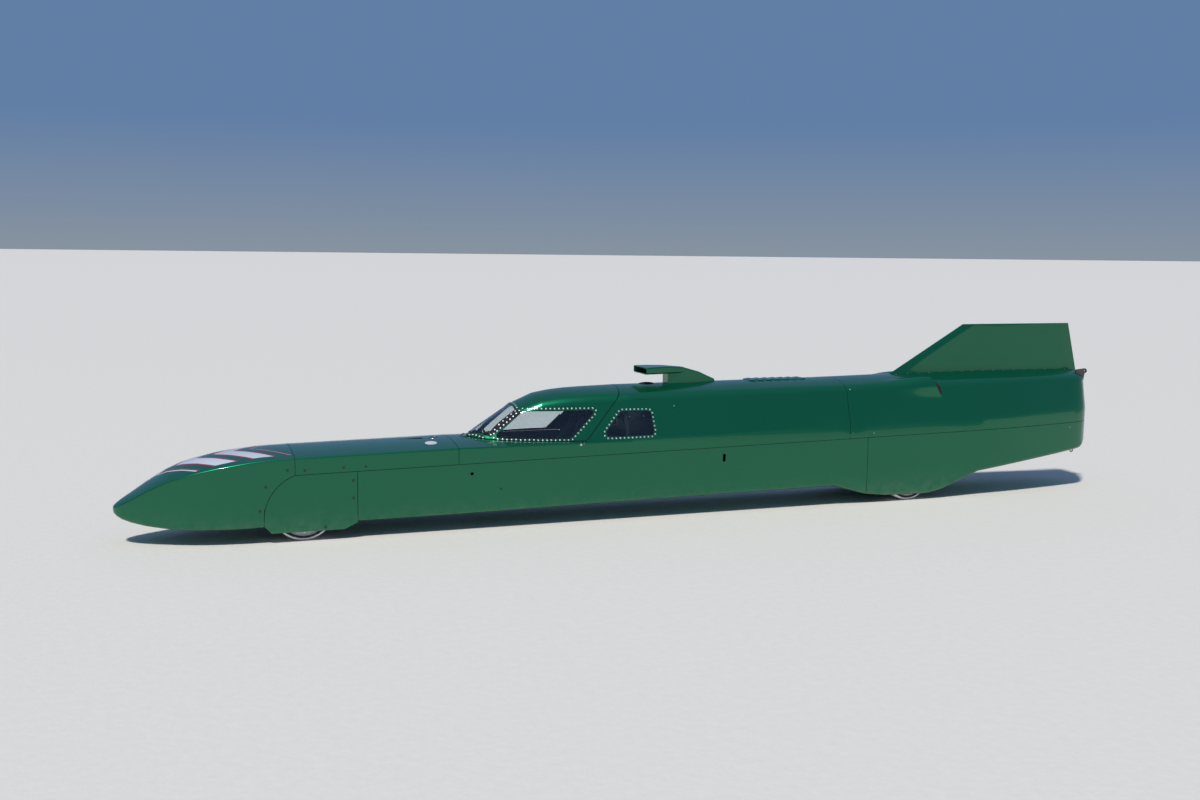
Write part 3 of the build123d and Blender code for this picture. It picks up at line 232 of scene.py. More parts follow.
def feed(tree, socket, entry):
    """Set a socket to a number, or link another socket to it."""
    if isinstance(entry, (int, float)):
        socket.default_value = entry
    elif entry is not None:
        tree.links.new(entry, socket)


def math_node(tree, operation, first, second=None, clamp=False):
    """A Math node on two sockets or numbers, giving its output."""
    node = tree.nodes.new("ShaderNodeMath")
    node.operation, node.use_clamp = operation, clamp
    feed(tree, node.inputs[0], first)
    feed(tree, node.inputs[1], second)
    return node.outputs[0]


def times(tree, first, second, clamp=False):
    """Two sockets or numbers multiplied."""
    return math_node(tree, "MULTIPLY", first, second, clamp)


def plus(tree, first, second, clamp=False):
    """Two sockets or numbers added."""
    return math_node(tree, "ADD", first, second, clamp)


def noise(tree, vector, scale, detail=3.0, roughness=0.5):
    """Noise on a vector, giving its value."""
    node = tree.nodes.new("ShaderNodeTexNoise")
    tree.links.new(vector, node.inputs["Vector"])
    node.inputs["Detail"].default_value = detail
    node.inputs["Roughness"].default_value = roughness
    feed(tree, node.inputs["Scale"], scale)
    return node.outputs["Fac"]


def object_place(tree):
    """Object coordinates."""
    return tree.nodes.new("ShaderNodeTexCoord").outputs["Object"]


def axes_of(tree, vector):
    """The X, Y and Z of a vector."""
    split = tree.nodes.new("ShaderNodeSeparateXYZ")
    tree.links.new(vector, split.inputs[0])
    return split.outputs


def ramp(tree, value, low, high):
    """The value stretched so that low becomes 0 and high becomes 1."""
    node = tree.nodes.new("ShaderNodeMapRange")
    for label, entry in (("Value", value), ("From Min", low), ("From Max", high)):
        feed(tree, node.inputs[label], entry)
    return node.outputs["Result"]


# %% [markdown]
# Salt from the lake bed is thrown up by the wheels and dries where it lands. A fade in height alone would
# look like a spray line, so it is broken up by broad patches and by single grains.

# %% Salt film
def build_salt():
    """Salt dust, thickest near the ground and broken up by noise."""
    group, given, out = new_group("salt_film", [("Reach", 0.25), ("Amount", 0.5)], ["Mask", "Height"])
    place = object_place(group)
    low = ramp(group, axes_of(group, place)["Z"], given.outputs["Reach"], 0.0)
    clouds = noise(group, place, scale=14.0, detail=6.0, roughness=0.65)
    grains = noise(group, place, scale=420.0, detail=2.0)
    patches = ramp(group, clouds, low=0.36, high=0.66)
    dots = ramp(group, grains, low=0.5, high=0.62)
    film = times(group, times(group, low, low), patches)
    speckle = times(group, dots, times(group, low, 0.5))
    both = plus(group, film, times(group, speckle, patches))
    group.links.new(times(group, both, given.outputs["Amount"], clamp=True), out.inputs["Mask"])
    group.links.new(times(group, both, grains), out.inputs["Height"])
    return group


salt_film = build_salt()
print("salt film", len(salt_film.nodes), "nodes")

# %% [markdown]
# Sheet metal that was rubbed down has fine lines one way, which is noise squeezed across that way. Cloth is
# waves along three axes, so it needs no unwrapping. Sprayed paint is a broad wave with a finer one on it.

# %% Brushed grain, weave and spray ripple
LINES_SQUEEZE = (1, 40, 40)


def build_brushed():
    """Fine lines along X, as on sheet metal that was rubbed down."""
    group, given, out = new_group("brushed_grain", [("Scale", 40.0)], ["Value"])
    mapping = group.nodes.new("ShaderNodeMapping")
    mapping.inputs["Scale"].default_value = LINES_SQUEEZE
    group.links.new(object_place(group), mapping.inputs["Vector"])
    lines = noise(group, mapping.outputs["Vector"], given.outputs["Scale"], detail=4.0, roughness=0.7)
    group.links.new(lines, out.inputs["Value"])
    return group


def build_weave():
    """Threads over and under each other along X, Y and Z."""
    group, given, out = new_group("weave", [("Threads", 700.0)], ["Height", "Shade"])
    place = object_place(group)
    axes = axes_of(group, place)
    turns = times(group, given.outputs["Threads"], 2 * pi)
    waves = [math_node(group, "SINE", times(group, axes[axis], turns)) for axis in "XYZ"]
    crossed = times(group, plus(group, waves[0], waves[2]), waves[1])
    group.links.new(math_node(group, "MULTIPLY_ADD", crossed, 0.25), out.inputs["Height"])
    group.links.new(noise(group, place, scale=30.0, detail=4.0), out.inputs["Shade"])
    return group


def build_ripple():
    """The faint ripple of sprayed and polished paint."""
    group, given, out = new_group("spray_ripple", [("Scale", 90.0)], ["Height"])
    place = object_place(group)
    fine = noise(group, place, given.outputs["Scale"], detail=2.0)
    broad = noise(group, place, scale=2.2, detail=2.0)
    group.links.new(plus(group, times(group, fine, 0.06), broad), out.inputs["Height"])
    return group


brushed_grain, weave, spray_ripple = build_brushed(), build_weave(), build_ripple()
print("groups", [group.name for group in (salt_film, brushed_grain, weave, spray_ripple)])

# %% [markdown]
# ## Materials
# Every material starts from the same short recipe: a Principled shader with its plain numbers set on it,
# then nodes for what varies. Salt is mixed over colour and roughness where a piece comes near the ground.

# %% Material tools
SALT_WHITE = (0.72, 0.70, 0.66)


class Finish:
    """A material with its Principled shader, and short ways to add to it."""

    def __init__(self, name, color, roughness, metallic=0.0, **plain):
        self.material = bpy.data.materials.new(name)
        self.material.use_nodes = True
        self.tree = self.material.node_tree
        self.shader = self.tree.nodes["Principled BSDF"]
        self.set("Base Color", (*color, 1))
        self.set("Roughness", roughness)
        self.set("Metallic", metallic)
        for socket, value in plain.items():
            self.set(socket.replace("_", " "), value)

    def set(self, socket, value):
        """Set one of the shader's plain values."""
        self.shader.inputs[socket].default_value = value

    def link(self, output, socket):
        """Let a node drive one of the shader's sockets."""
        self.tree.links.new(output, self.shader.inputs[socket])

    def group(self, group, **values):
        """Place a node group with its own values."""
        node = self.tree.nodes.new("ShaderNodeGroup")
        node.node_tree = group
        for socket, value in values.items():
            node.inputs[socket].default_value = value
        return node

    def mix(self, mask, first, second):
        """The first colour where the mask is 0, the second where it is 1."""
        node = self.tree.nodes.new("ShaderNodeMix")
        node.data_type = "RGBA"
        self.tree.links.new(mask, node.inputs["Factor"])
        for socket, color in ((node.inputs[6], first), (node.inputs[7], second)):
            if isinstance(color, tuple):
                socket.default_value = (*color, 1)
            else:
                self.tree.links.new(color, socket)
        return node.outputs[2]

    def bump(self, height, strength, distance):
        """Raise the surface by a height."""
        node = self.tree.nodes.new("ShaderNodeBump")
        node.inputs["Strength"].default_value = strength
        node.inputs["Distance"].default_value = distance
        self.tree.links.new(height, node.inputs["Height"])
        self.link(node.outputs["Normal"], "Normal")

    def value(self, mask, low, high):
        """A number that goes from low to high with the mask."""
        node = self.tree.nodes.new("ShaderNodeMapRange")
        self.tree.links.new(mask, node.inputs["Value"])
        node.inputs["To Min"].default_value = low
        node.inputs["To Max"].default_value = high
        return node.outputs["Result"]


def tinted(color, factor):
    """A colour made darker or lighter."""
    return tuple(min(1.0, factor * part) for part in color)


# %% [markdown]
# Metallic paint is a coat of coloured flakes under clear lacquer. The shader's own Coat layer is the lacquer,
# and very fine noise between two greens stands for the flakes. Salt dulls the coat low down.

# %% Green metallic paint
GREEN_DEEP, GREEN_BRIGHT = (0.001, 0.092, 0.036), (0.002, 0.150, 0.062)
PAINT_ROUGH, PAINT_METAL, LACQUER = 0.34, 0.7, 0.8
SALTED_ROUGH, SALTED_LACQUER, SALT_AMOUNT, SALT_REACH = 0.9, 0.1, 0.12, 0.24


def paint(name, picture=None):
    """Metallic green under clear lacquer, with a salt film low down and an optional painted pattern."""
    finish = Finish(name, GREEN_DEEP, PAINT_ROUGH, PAINT_METAL, Specular_IOR_Level=0.2, Coat_Weight=LACQUER,
                    Coat_Roughness=0.03, Coat_IOR=1.45)
    tree = finish.tree
    place = object_place(tree)
    flakes = ramp(tree, noise(tree, place, scale=1500.0, detail=1.0), low=0.3, high=0.7)
    shade = math_node(tree, "MULTIPLY_ADD", flakes, 0.5)
    mottle = plus(tree, times(tree, noise(tree, place, scale=1.3), 0.5), shade, clamp=True)
    color, bare = finish.mix(mottle, GREEN_DEEP, GREEN_BRIGHT), None
    if picture:
        color, bare = picture(finish, color)
    salt = finish.group(salt_film, Reach=SALT_REACH, Amount=SALT_AMOUNT).outputs["Mask"]
    finish.link(finish.mix(salt, color, SALT_WHITE), "Base Color")
    finish.link(finish.value(salt, PAINT_ROUGH, SALTED_ROUGH), "Roughness")
    finish.link(finish.value(salt, LACQUER, SALTED_LACQUER), "Coat Weight")
    metallic = finish.value(salt, PAINT_METAL, 0.0)
    finish.link(times(tree, metallic, bare) if bare else metallic, "Metallic")
    finish.bump(finish.group(spray_ripple).outputs["Height"], strength=0.12, distance=0.001)
    return finish.material


body_paint = paint("body_paint")
print("paint", len(body_paint.node_tree.nodes), "nodes")

# %% [markdown]
# Nothing on a car has one even gloss. Bare metal takes its roughness from the brushed grain, paint and
# plastic from smears, cloth from its weave, and the windows from a faint haze. Four short recipes make all
# of them, so a new finish is one line.

# %% Recipes for metal, paint, cloth and glass
FINE_BUMP = 0.0004


def metal(name, color, roughness, spread):
    """Bare metal whose roughness follows a brushed grain."""
    finish = Finish(name, color, roughness, 1.0)
    grain = finish.group(brushed_grain).outputs["Value"]
    finish.link(finish.value(grain, roughness - spread, roughness + spread), "Roughness")
    finish.link(finish.mix(grain, tinted(color, 0.82), color), "Base Color")
    finish.bump(grain, 0.08, FINE_BUMP)
    return finish.material


def coated(name, color, roughness, ripple=300.0, strength=0.15, salt_reach=0.0):
    """Paint or plastic with a fine texture and a little unevenness in its gloss."""
    finish = Finish(name, color, roughness)
    place = object_place(finish.tree)
    smears = noise(finish.tree, place, scale=9.0, detail=4.0)
    finish.link(finish.value(smears, roughness - 0.08, roughness + 0.12), "Roughness")
    tone = finish.mix(smears, tinted(color, 0.85), tinted(color, 1.2))
    if salt_reach:
        salt = finish.group(salt_film, Reach=salt_reach, Amount=1.0)
        tone = finish.mix(salt.outputs["Mask"], tone, SALT_WHITE)
    finish.link(tone, "Base Color")
    finish.bump(noise(finish.tree, place, ripple), strength, FINE_BUMP)
    return finish.material


def cloth(name, color, threads):
    """Woven cloth with a soft sheen."""
    finish = Finish(name, color, 0.9, Sheen_Weight=0.25, Sheen_Roughness=0.5)
    threadwork = finish.group(weave, Threads=threads).outputs
    finish.link(finish.mix(threadwork["Shade"], tinted(color, 0.7), tinted(color, 1.4)), "Base Color")
    finish.bump(threadwork["Height"], strength=0.5, distance=0.0006)
    return finish.material


def clear(name, color, roughness):
    """Clear sheet plastic with a faint haze of dust."""
    finish = Finish(name, color, roughness, IOR=1.49, Transmission_Weight=1.0)
    dust = noise(finish.tree, object_place(finish.tree), scale=60.0, detail=5.0)
    finish.link(finish.value(ramp(finish.tree, dust, low=0.5, high=0.9), roughness, 0.12), "Roughness")
    return finish.material


# %% Bare and painted metals, glass, rubber and cloth
frame_black = coated("frame_black", (0.022, 0.022, 0.025), 0.42)
liner_grey = coated("liner_grey", (0.10, 0.105, 0.11), 0.6, ripple=160.0, strength=0.4)
cockpit_black = coated("cockpit_black", (0.010, 0.010, 0.012), 0.75, ripple=160.0, strength=0.4)
sheet_aluminium = metal("sheet_aluminium", (0.62, 0.63, 0.64), 0.32, spread=0.08)
machined_steel = metal("machined_steel", (0.52, 0.53, 0.54), 0.24, spread=0.06)
screw_steel = metal("screw_steel", (0.86, 0.86, 0.87), 0.46, spread=0.05)
disc_grey = coated("disc_grey", (0.42, 0.42, 0.44), 0.38, ripple=240.0, strength=0.12, salt_reach=0.2)
# Near-black for seals, trim, the roof cap and dials. The same black is also painted shade in the outlets'
# openings, behind their lips and in the flank vents.
seal_and_shade_black = coated("seal_and_shade_black", (0.006, 0.006, 0.007), 0.8)
grip_foam = coated("grip_foam", (0.016, 0.016, 0.017), 0.85, ripple=700.0, strength=0.6)
seat_cloth = cloth("seat_cloth", (0.028, 0.030, 0.038), threads=420.0)
pack_canvas = cloth("pack_canvas", (0.45, 0.42, 0.36), threads=380.0)
belt_blue = cloth("belt_blue", (0.018, 0.035, 0.16), threads=500.0)
window_clear = clear("window_clear", (0.80, 0.86, 0.87), 0.01)
dark_green = coated("dark_green", (0.004, 0.045, 0.022), 0.5)
cap_white = coated("cap_white", (0.58, 0.58, 0.60), 0.4)
needle_red = coated("needle_red", (0.42, 0.03, 0.02), 0.4)
dark_steel = metal("dark_steel", (0.16, 0.14, 0.13), 0.45, spread=0.1)
cast_iron = coated("cast_iron", (0.06, 0.06, 0.065), 0.55, ripple=120.0, strength=0.5)
print("materials", len(bpy.data.materials))

# %% [markdown]
# ## Light and floor
# Plain soft studio light: a broad high lamp from the car's front left, and a sky that is paler at the
# horizon than overhead, which is what the lacquer on the deck and roof reflects.

# %% World, key light and floor
SKY_STOPS = [(0.0, (0.24, 0.29, 0.35, 1)), (0.10, (0.12, 0.21, 0.38, 1)), (0.9, (0.12, 0.20, 0.38, 1))]
FLOOR_SIZE = 4000
FLOOR_WHITE, FLOOR_DARKER, FLOOR_LIGHTER = (0.71, 0.66, 0.57), (0.67, 0.62, 0.53), (0.75, 0.70, 0.61)
KEY_FROM, KEY_STRENGTH, KEY_SPREAD = Vector((0.30, 0.34, 0.88)), 3.0, radians(5)


def build_world():
    """A plain sky, paler at the horizon."""
    world = bpy.data.worlds.new("studio")
    world.use_nodes = True
    tree = world.node_tree
    direction = tree.nodes.new("ShaderNodeTexCoord").outputs["Generated"]
    fade = tree.nodes.new("ShaderNodeValToRGB")
    tree.links.new(axes_of(tree, direction)["Z"], fade.inputs["Fac"])
    stops = fade.color_ramp.elements
    stops[0].position, stops[0].color = SKY_STOPS[0]
    stops[1].position, stops[1].color = SKY_STOPS[2]
    stops.new(SKY_STOPS[1][0]).color = SKY_STOPS[1][1]
    tree.links.new(fade.outputs["Color"], tree.nodes["Background"].inputs["Color"])
    tree.nodes["Background"].inputs["Strength"].default_value = 1.0
    bpy.context.scene.world = world


def build_floor():
    """A wide pale floor with the slightest grain."""
    floor = start(bpy.ops.mesh.primitive_plane_add, "floor", size=FLOOR_SIZE)
    finish = Finish("floor_white", FLOOR_WHITE, 0.9)
    grain = noise(finish.tree, object_place(finish.tree), scale=22.0, detail=6.0, roughness=0.6)
    finish.link(finish.mix(grain, FLOOR_DARKER, FLOOR_LIGHTER), "Base Color")
    finish.bump(grain, strength=0.25, distance=0.01)
    floor.data.materials.append(finish.material)


build_world()
build_floor()
sun = bpy.data.lights.new("key", "SUN")
sun.energy, sun.angle = KEY_STRENGTH, KEY_SPREAD
key = bpy.data.objects.new("key", sun)
key.rotation_euler = KEY_FROM.to_track_quat("Z", "Y").to_euler()
bpy.context.scene.collection.objects.link(key)
bpy.context.scene.view_settings.view_transform = "Standard"
print("light from", tuple(KEY_FROM))

# %% [markdown]
# ## Body panels
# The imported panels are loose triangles. For gloss to run smoothly over them, each is copied, its doubles
# are merged, its triangles are paired into quads and its normals are weighted by face size. The inside of
# the skin is bare liner, not paint, so faces that look towards the middle of the hull get a second material.

# %% Copying panels
PANEL_SHARP, FIN_SHARP = 22, 32
MERGE, FLAT_PAIR, SKEWED_PAIR = 0.00002, radians(6), radians(60)
NOSE_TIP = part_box("nose_cone")[1][0]
MIDDLE_AT_NOSE, MIDDLE_RISE, MIDDLE_HIGHEST = 0.20, 0.12, 0.45
LOOKS_IN = -0.2


def middle_height(x):
    """Rough height of the hull's middle along the car."""
    return min(MIDDLE_HIGHEST, MIDDLE_AT_NOSE + MIDDLE_RISE * (NOSE_TIP - x))


def line_inside(panel, lining):
    """Give faces that look towards the middle of the hull a second material."""
    panel.data.materials.append(lining)
    for face in panel.data.polygons:
        outward = Vector((0, face.center.y, face.center.z - middle_height(face.center.x)))
        if face.normal.dot(outward.normalized()) < LOOKS_IN:
            face.material_index = 1


def skin(node, material, lining=None, sharp=PANEL_SHARP):
    """A merged, smooth copy of a CAD panel that stands for it."""
    copy = bpy.data.objects.new(f"{node}_panel", nodes[node].data.copy())
    bpy.context.scene.collection.objects.link(copy)
    only(copy)
    bpy.ops.mesh.customdata_custom_splitnormals_clear()
    bpy.ops.object.mode_set(mode="EDIT")
    bpy.ops.mesh.select_all(action="SELECT")
    bpy.ops.mesh.remove_doubles(threshold=MERGE)
    bpy.ops.mesh.tris_convert_to_quads(face_threshold=FLAT_PAIR, shape_threshold=SKEWED_PAIR)
    bpy.ops.object.mode_set(mode="OBJECT")
    bpy.ops.object.shade_smooth_by_angle(angle=radians(sharp))
    weighted = copy.modifiers.new("weighted", "WEIGHTED_NORMAL")
    weighted.keep_sharp = True
    bpy.ops.object.modifier_apply(modifier=weighted.name)
    copy.data.materials.clear()
    copy.data.materials.append(material)
    if lining:
        line_inside(copy, lining)
    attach(copy, body_of[node])
    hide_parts(node)
    return copy


HULL = ["nose_cone", "front_wheel_cover_left", "front_wheel_cover_right", "front_deck", "filler_cap",
        "middle_upper_body", "tail_upper_body", "lower_body", "rear_lower_body", "canopy_shell"]
linings = {node: cockpit_black if node == "canopy_shell" else liner_grey for node in HULL}
panels = {node: skin(node, body_paint, linings[node]) for node in HULL}
for node in ("roof_louvre", "intake_scoop", "outlet_blisters", "tail_fin"):
    panels[node] = skin(node, body_paint, sharp=FIN_SHARP)
print("panels", len(panels), "faces", sum(len(panel.data.polygons) for panel in panels.values()))

# %% [markdown]
# Frame, axles, bulkheads and panes are flat or plain round pieces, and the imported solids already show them
# as they are. They keep their meshes and only take a finished material.

# %% Carried-over pieces take finished materials
CARRIED = {
    "windshield": window_clear, "canopy_windows": window_clear, "quarter_windows": window_clear,
    "frame_rails": frame_black, "front_bulkhead": frame_black, "footwell_bulkhead": sheet_aluminium,
    "firewall": sheet_aluminium, "rear_bulkhead": sheet_aluminium, "roll_cage": frame_black,
    "dash_panel": frame_black, "seat_shell": sheet_aluminium, "steering_column": machined_steel,
    "steering_wheel": frame_black, "engine_block": cast_iron, "front_axle_beam": frame_black,
    "knuckle_left": machined_steel, "knuckle_right": machined_steel, "tie_rod": machined_steel,
    "rear_axle": machined_steel, "axle_carriers": sheet_aluminium, "canopy_hinge": machined_steel,
    "tow_eyes": dark_steel, "tail_lugs": dark_steel, "chute_tubes": sheet_aluminium, "seat_pad": seat_cloth,
    "headrest": seat_cloth, "chute_packs": pack_canvas,
    **{f"{end}_wheel_{side}": disc_grey for end in ("front", "rear") for side in ("left", "right")},
}
for node, material in CARRIED.items():
    nodes[node].data.materials.clear()
    nodes[node].data.materials.append(material)
print("carried", len(CARRIED))

# %% [markdown]
# ## Rows of screws round the windows
# Each pane is held by button-head screws about an inch apart, just outside the glass. One screw is
# modelled, and copies of it are dropped onto the skin with rays, so every head sits flat on the surface.
# The rows follow the panes' own outlines, grown a little and with their corners rounded.

# %% Outlines
PANES = {
    "side": [(1.173, 0.530), (0.707, 0.524), (0.537, 0.688), (0.985, 0.690)],
    "quarter": [(0.377, 0.676), (0.184, 0.674), (0.168, 0.529), (0.505, 0.526)],
    "front": [(1.281, -0.024), (1.207, -0.122), (1.020, -0.106), (1.020, 0.106), (1.207, 0.122),
              (1.281, 0.024)],
}


def grown(outline, distance):
    """The outline moved outwards by a distance, corners kept sharp."""
    points = [Vector(point) for point in outline]
    area = sum(a.cross(b) for a, b in zip(points, points[1:] + points[:1]))
    turn = 1 if area > 0 else -1
    result = []
    for i, here in enumerate(points):
        before = (here - points[i - 1]).normalized()
        after = (points[(i + 1) % len(points)] - here).normalized()
        first, second = Vector((before.y, -before.x)) * turn, Vector((after.y, -after.x)) * turn
        result.append(here + (first + second) * (distance / (1 + first.dot(second))))
    return result


def rounded(outline, radius, steps=6):
    """The outline with an arc at each corner."""
    points = [Vector(point) for point in outline]
    result = []
    for i, here in enumerate(points):
        to_last = (points[i - 1] - here).normalized()
        to_next = (points[(i + 1) % len(points)] - here).normalized()
        half = to_last.angle(to_next) / 2
        reach = radius / tan(half)
        centre = here + (to_last + to_next).normalized() * (radius / sin(half))
        first, last = here + to_last * reach - centre, here + to_next * reach - centre
        sweep = first.angle_signed(last)
        result += [centre + Matrix.Rotation(-sweep * k / steps, 2) @ first for k in range(steps + 1)]
    return result


def spaced(outline, step):
    """Points about a step apart all the way round a closed outline."""
    sides = [(a, b - a) for a, b in zip(outline, outline[1:] + outline[:1])]
    total = sum(side.length for a, side in sides)
    count = round(total / step)
    result, walked = [], 0.0
    for a, side in sides:
        while len(result) < count and len(result) * total / count < walked + side.length:
            result.append(a + side * ((len(result) * total / count - walked) / side.length))
        walked += side.length
    return result


print("corners", {pane: len(outline) for pane, outline in PANES.items()})

# %% Rays
FAR_OUT = 2.0


def surface_tree(*objects):
    """A search tree over the faces of several objects."""
    corners, faces = [], []
    for item in objects:
        first = len(corners)
        corners += [vertex.co.copy() for vertex in item.data.vertices]
        faces += [[first + i for i in face.vertices] for face in item.data.polygons]
    return BVHTree.FromPolygons(corners, faces)


def from_side(tree, x, z, side):
    """Where a ray from the car's left (1) or right (-1) meets the skin, and the skin's normal there."""
    return tree.ray_cast(Vector((x, side * FAR_OUT, z)), Vector((0, -side, 0)))[:2]


def from_above(tree, x, y):
    """Where a ray from above meets the skin, and the skin's normal there."""
    return tree.ray_cast(Vector((x, y, FAR_OUT)), Vector((0, 0, -1)))[:2]


def from_both_sides(tree, spots):
    """Hits on the left and on the right for a list of (x, z)."""
    return [from_side(tree, x, z, side) for side in (1, -1) for x, z in spots]


canopy_skin = surface_tree(panels["canopy_shell"])
hull_skin = surface_tree(*[panels[node] for node in HULL if node != "canopy_shell"])
print("roof at", from_above(hull_skin, 0, 0)[0])

# %% [markdown]
# A button head is a low cylinder: its edge is stepped in twice, and its middle is pushed down for the
# socket. Each copy has its own mesh. On the upright sides a head is let into the skin, as in a dimple, so
# that the car grows no wider.

# %% One screw, and many copies
SIDE_LIMIT, PROUD = cad_size[1][1], 0.0004


def button_screw(radius=0.0048, height=0.0024):
    """A low domed head with a socket in it, standing on z = 0."""
    head = start(bpy.ops.mesh.primitive_cylinder_add, "screw", vertices=12, radius=radius, depth=height,
                 location=(0, 0, height / 2))
    settle(head)
    pick(head, lambda face: face.normal.z > 0.9)
    bpy.ops.mesh.inset(thickness=0.25 * radius, depth=0.25 * height)
    bpy.ops.mesh.inset(thickness=0.30 * radius, depth=0.10 * height)
    bpy.ops.mesh.inset(thickness=0.02 * radius, depth=-0.8 * height)
    return settle(head, 40)


def let_in(spot, normal, tall, wide):
    """The spot, moved in far enough for a head on it to stay within the car's width."""
    reach = tall * abs(normal.y) + wide * (1 - min(1, normal.y ** 2)) ** 0.5
    over = abs(spot.y) + reach - SIDE_LIMIT - PROUD
    return spot - normal * over if over > 0 else spot


def copies(name, model, places, keep=False):
    """One mesh with a copy of the model on each place, its Z along the place's normal.

    On a level place a copy is also turned half round."""
    made = []
    tall, wide = [max(vertex.co[axis] for vertex in model.data.vertices) for axis in (2, 0)]
    for spot, normal in places:
        copy = model.copy()
        copy.data = model.data.copy()
        bpy.context.scene.collection.objects.link(copy)
        turn = normal.to_track_quat("Z", "Y").to_matrix().to_4x4()
        copy.matrix_world = Matrix.Translation(let_in(spot, normal, tall, wide)) @ turn
        made.append(copy)
    if not keep:
        bpy.data.objects.remove(model)
    return applied(joined(name, made))


# %% Screws round the panes
SCREW_STEP, SCREW_OUT = 0.0262, 0.012
SCREW_CORNER = {"side": 0.02, "quarter": 0.03, "front": 0.02}
LOOK_UP, LOOK_UP_STEP = 6, 0.002


def just_above(tree, x, z, side):
    """The first hit at this height or a little higher, for points just below the skin's lower edge."""
    hits = [from_side(tree, x, z + LOOK_UP_STEP * i, side) for i in range(LOOK_UP)]
    return next((hit for hit in hits if hit[0]), hits[0])


screw_rows = {pane: spaced(rounded(grown(outline, SCREW_OUT), SCREW_CORNER[pane]), SCREW_STEP)
              for pane, outline in PANES.items()}
canopy_places = [just_above(canopy_skin, x, z, side) for side in (1, -1) for x, z in screw_rows["side"]]
canopy_places += [from_above(canopy_skin, x, y) for x, y in screw_rows["front"]]
hull_places = from_both_sides(hull_skin, screw_rows["quarter"])
screw = button_screw()
for name, body, places in (("canopy_window_screws", "canopy", canopy_places),
                           ("quarter_window_screws", "chassis", hull_places)):
    row = copies(name, screw, [place for place in places if place[0]], keep=True)
    finish_piece(row, body, screw_steel, "bright_steel")
    print(name, len(places))
bpy.data.objects.remove(screw)

# %% [markdown]
# ## Window seals
# A thin black bead closes the joint between each pane and the skin. It is a curve laid on the surface and
# given a round section, then made a mesh.

# %% Beads along outlines
SEAL_STEP, SEAL_GAP, SEAL_RADIUS = 0.008, 0.0008, 0.0016
PANE_CORNER = {"side": 0.014, "quarter": 0.022, "front": 0.014}


def bead(name, points, radius, closed=True):
    """A round bead along points."""
    path = bpy.data.curves.new(name, "CURVE")
    path.dimensions = "3D"
    path.bevel_depth, path.bevel_resolution = radius, 2
    line = path.splines.new("POLY")
    line.points.add(len(points) - 1)
    for dot, point in zip(line.points, points):
        dot.co = (*point, 1)
    line.use_cyclic_u = closed
    obj = bpy.data.objects.new(name, path)
    bpy.context.scene.collection.objects.link(obj)
    only(obj)
    bpy.ops.object.convert(target="MESH")
    bpy.context.object.name = bpy.context.object.data.name = name
    return settle(bpy.context.object, 60)


def seal(name, pane, side, gap=SEAL_GAP, radius=SEAL_RADIUS, depth=0.0):
    """A black bead along a pane's edge, on the skin or a depth under it."""
    tree, body = (hull_skin, "chassis") if pane == "quarter" else (canopy_skin, "canopy")
    row = spaced(rounded(grown(PANES[pane], gap), PANE_CORNER[pane]), SEAL_STEP)
    hits = [from_above(tree, *point) if pane == "front" else from_side(tree, *point, side) for point in row]
    line = bead(name, [spot - normal * depth for spot, normal in hits if spot], radius)
    finish_piece(line, body, seal_and_shade_black, "grip_black")


for side_name, side in SIDES:
    seal(f"side_seal_{side_name}", "side", side)
    seal(f"quarter_seal_{side_name}", "quarter", side)
seal("front_seal", "front", 1)
print("seals round", list(PANES))

# %% [markdown]
# ## Fasteners on the body
# Wheel covers and noses come off in a minute on such a car, so quarter-turn fasteners hold them: flush
# discs with a slot. Most are painted with the body, so they show only as faint rings. A few are a darker
# green.

# %% Quarter-turn fasteners
def quarter_turn(radius=0.0085, height=0.0004):
    """A flush disc with a raised ring and a slot across it."""
    disc = start(bpy.ops.mesh.primitive_cylinder_add, "fastener", vertices=20, radius=radius, depth=height,
                 location=(0, 0, height / 2))
    settle(disc)
    pick(disc, lambda face: face.normal.z > 0.9)
    bpy.ops.mesh.inset(thickness=0.18 * radius, depth=0)
    bpy.ops.mesh.inset(thickness=0.05 * radius, depth=-0.5 * height)
    slot_bar = block("slot", (1.4 * radius, 0.22 * radius, 0.5 * height), (0, 0, 0.55 * height))
    return settle(joined("fastener", [disc, slot_bar]), 40)


# %% Fasteners along the seam, the deck and the rear panels
SEAM_FRONT, SEAM_RISE, DECK_FRONT = 0.385, 0.0165, 2.365
SEAM_ROW_FRONT, SEAM_ROW_STEP, SEAM_ROW_COUNT, SEAM_ROW_RISE = 1.25, 0.31, 14, 0.02
DARK_PLACES = [(2.407, 0.416), (2.311, 0.411), (2.092, 0.417), (2.527, 0.327), (2.561, 0.192), (2.038, 0.237),
               (1.966, 0.418), (1.162, 0.241), (2.038, 0.34), (2.20, 0.078)]
DECK_PLACES = [(2.0, 0.468), (1.70, 0.472), (1.435, 0.478)]
REAR_PLACES = [(1.40, 0.42), (1.40, 0.478), (-1.215, 0.47), (-1.215, 0.60), (-1.215, 0.70), (-1.255, 0.48),
               (-1.255, 0.61), (-1.255, 0.71), (-1.355, 0.42), (-1.355, 0.28), (-1.355, 0.13), (-1.395, 0.42),
               (-1.395, 0.28), (-1.395, 0.13)]


def seam_height(x):
    """Height of the seam between upper and lower body."""
    return SEAM_FRONT + SEAM_RISE * (DECK_FRONT - x)


row_x = [SEAM_ROW_FRONT - SEAM_ROW_STEP * i for i in range(SEAM_ROW_COUNT)]
seam_rows = [(x, seam_height(x) + rise) for x in row_x for rise in (-SEAM_ROW_RISE, SEAM_ROW_RISE)]
fastener = quarter_turn()
for name, spots, material in (("painted_fasteners", DECK_PLACES + REAR_PLACES + seam_rows, body_paint),
                              ("cover_fasteners", DARK_PLACES, dark_green)):
    places = [place for place in from_both_sides(hull_skin, spots) if place[0]]
    finish_piece(copies(name, fastener, places, keep=True), "chassis", material, "body_paint")
    print(name, len(places))
bpy.data.objects.remove(fastener)

# %% [markdown]
# The fin's root and the outlets are fixed for good, so small screws hold them. They are the window screw
# again at a smaller size.

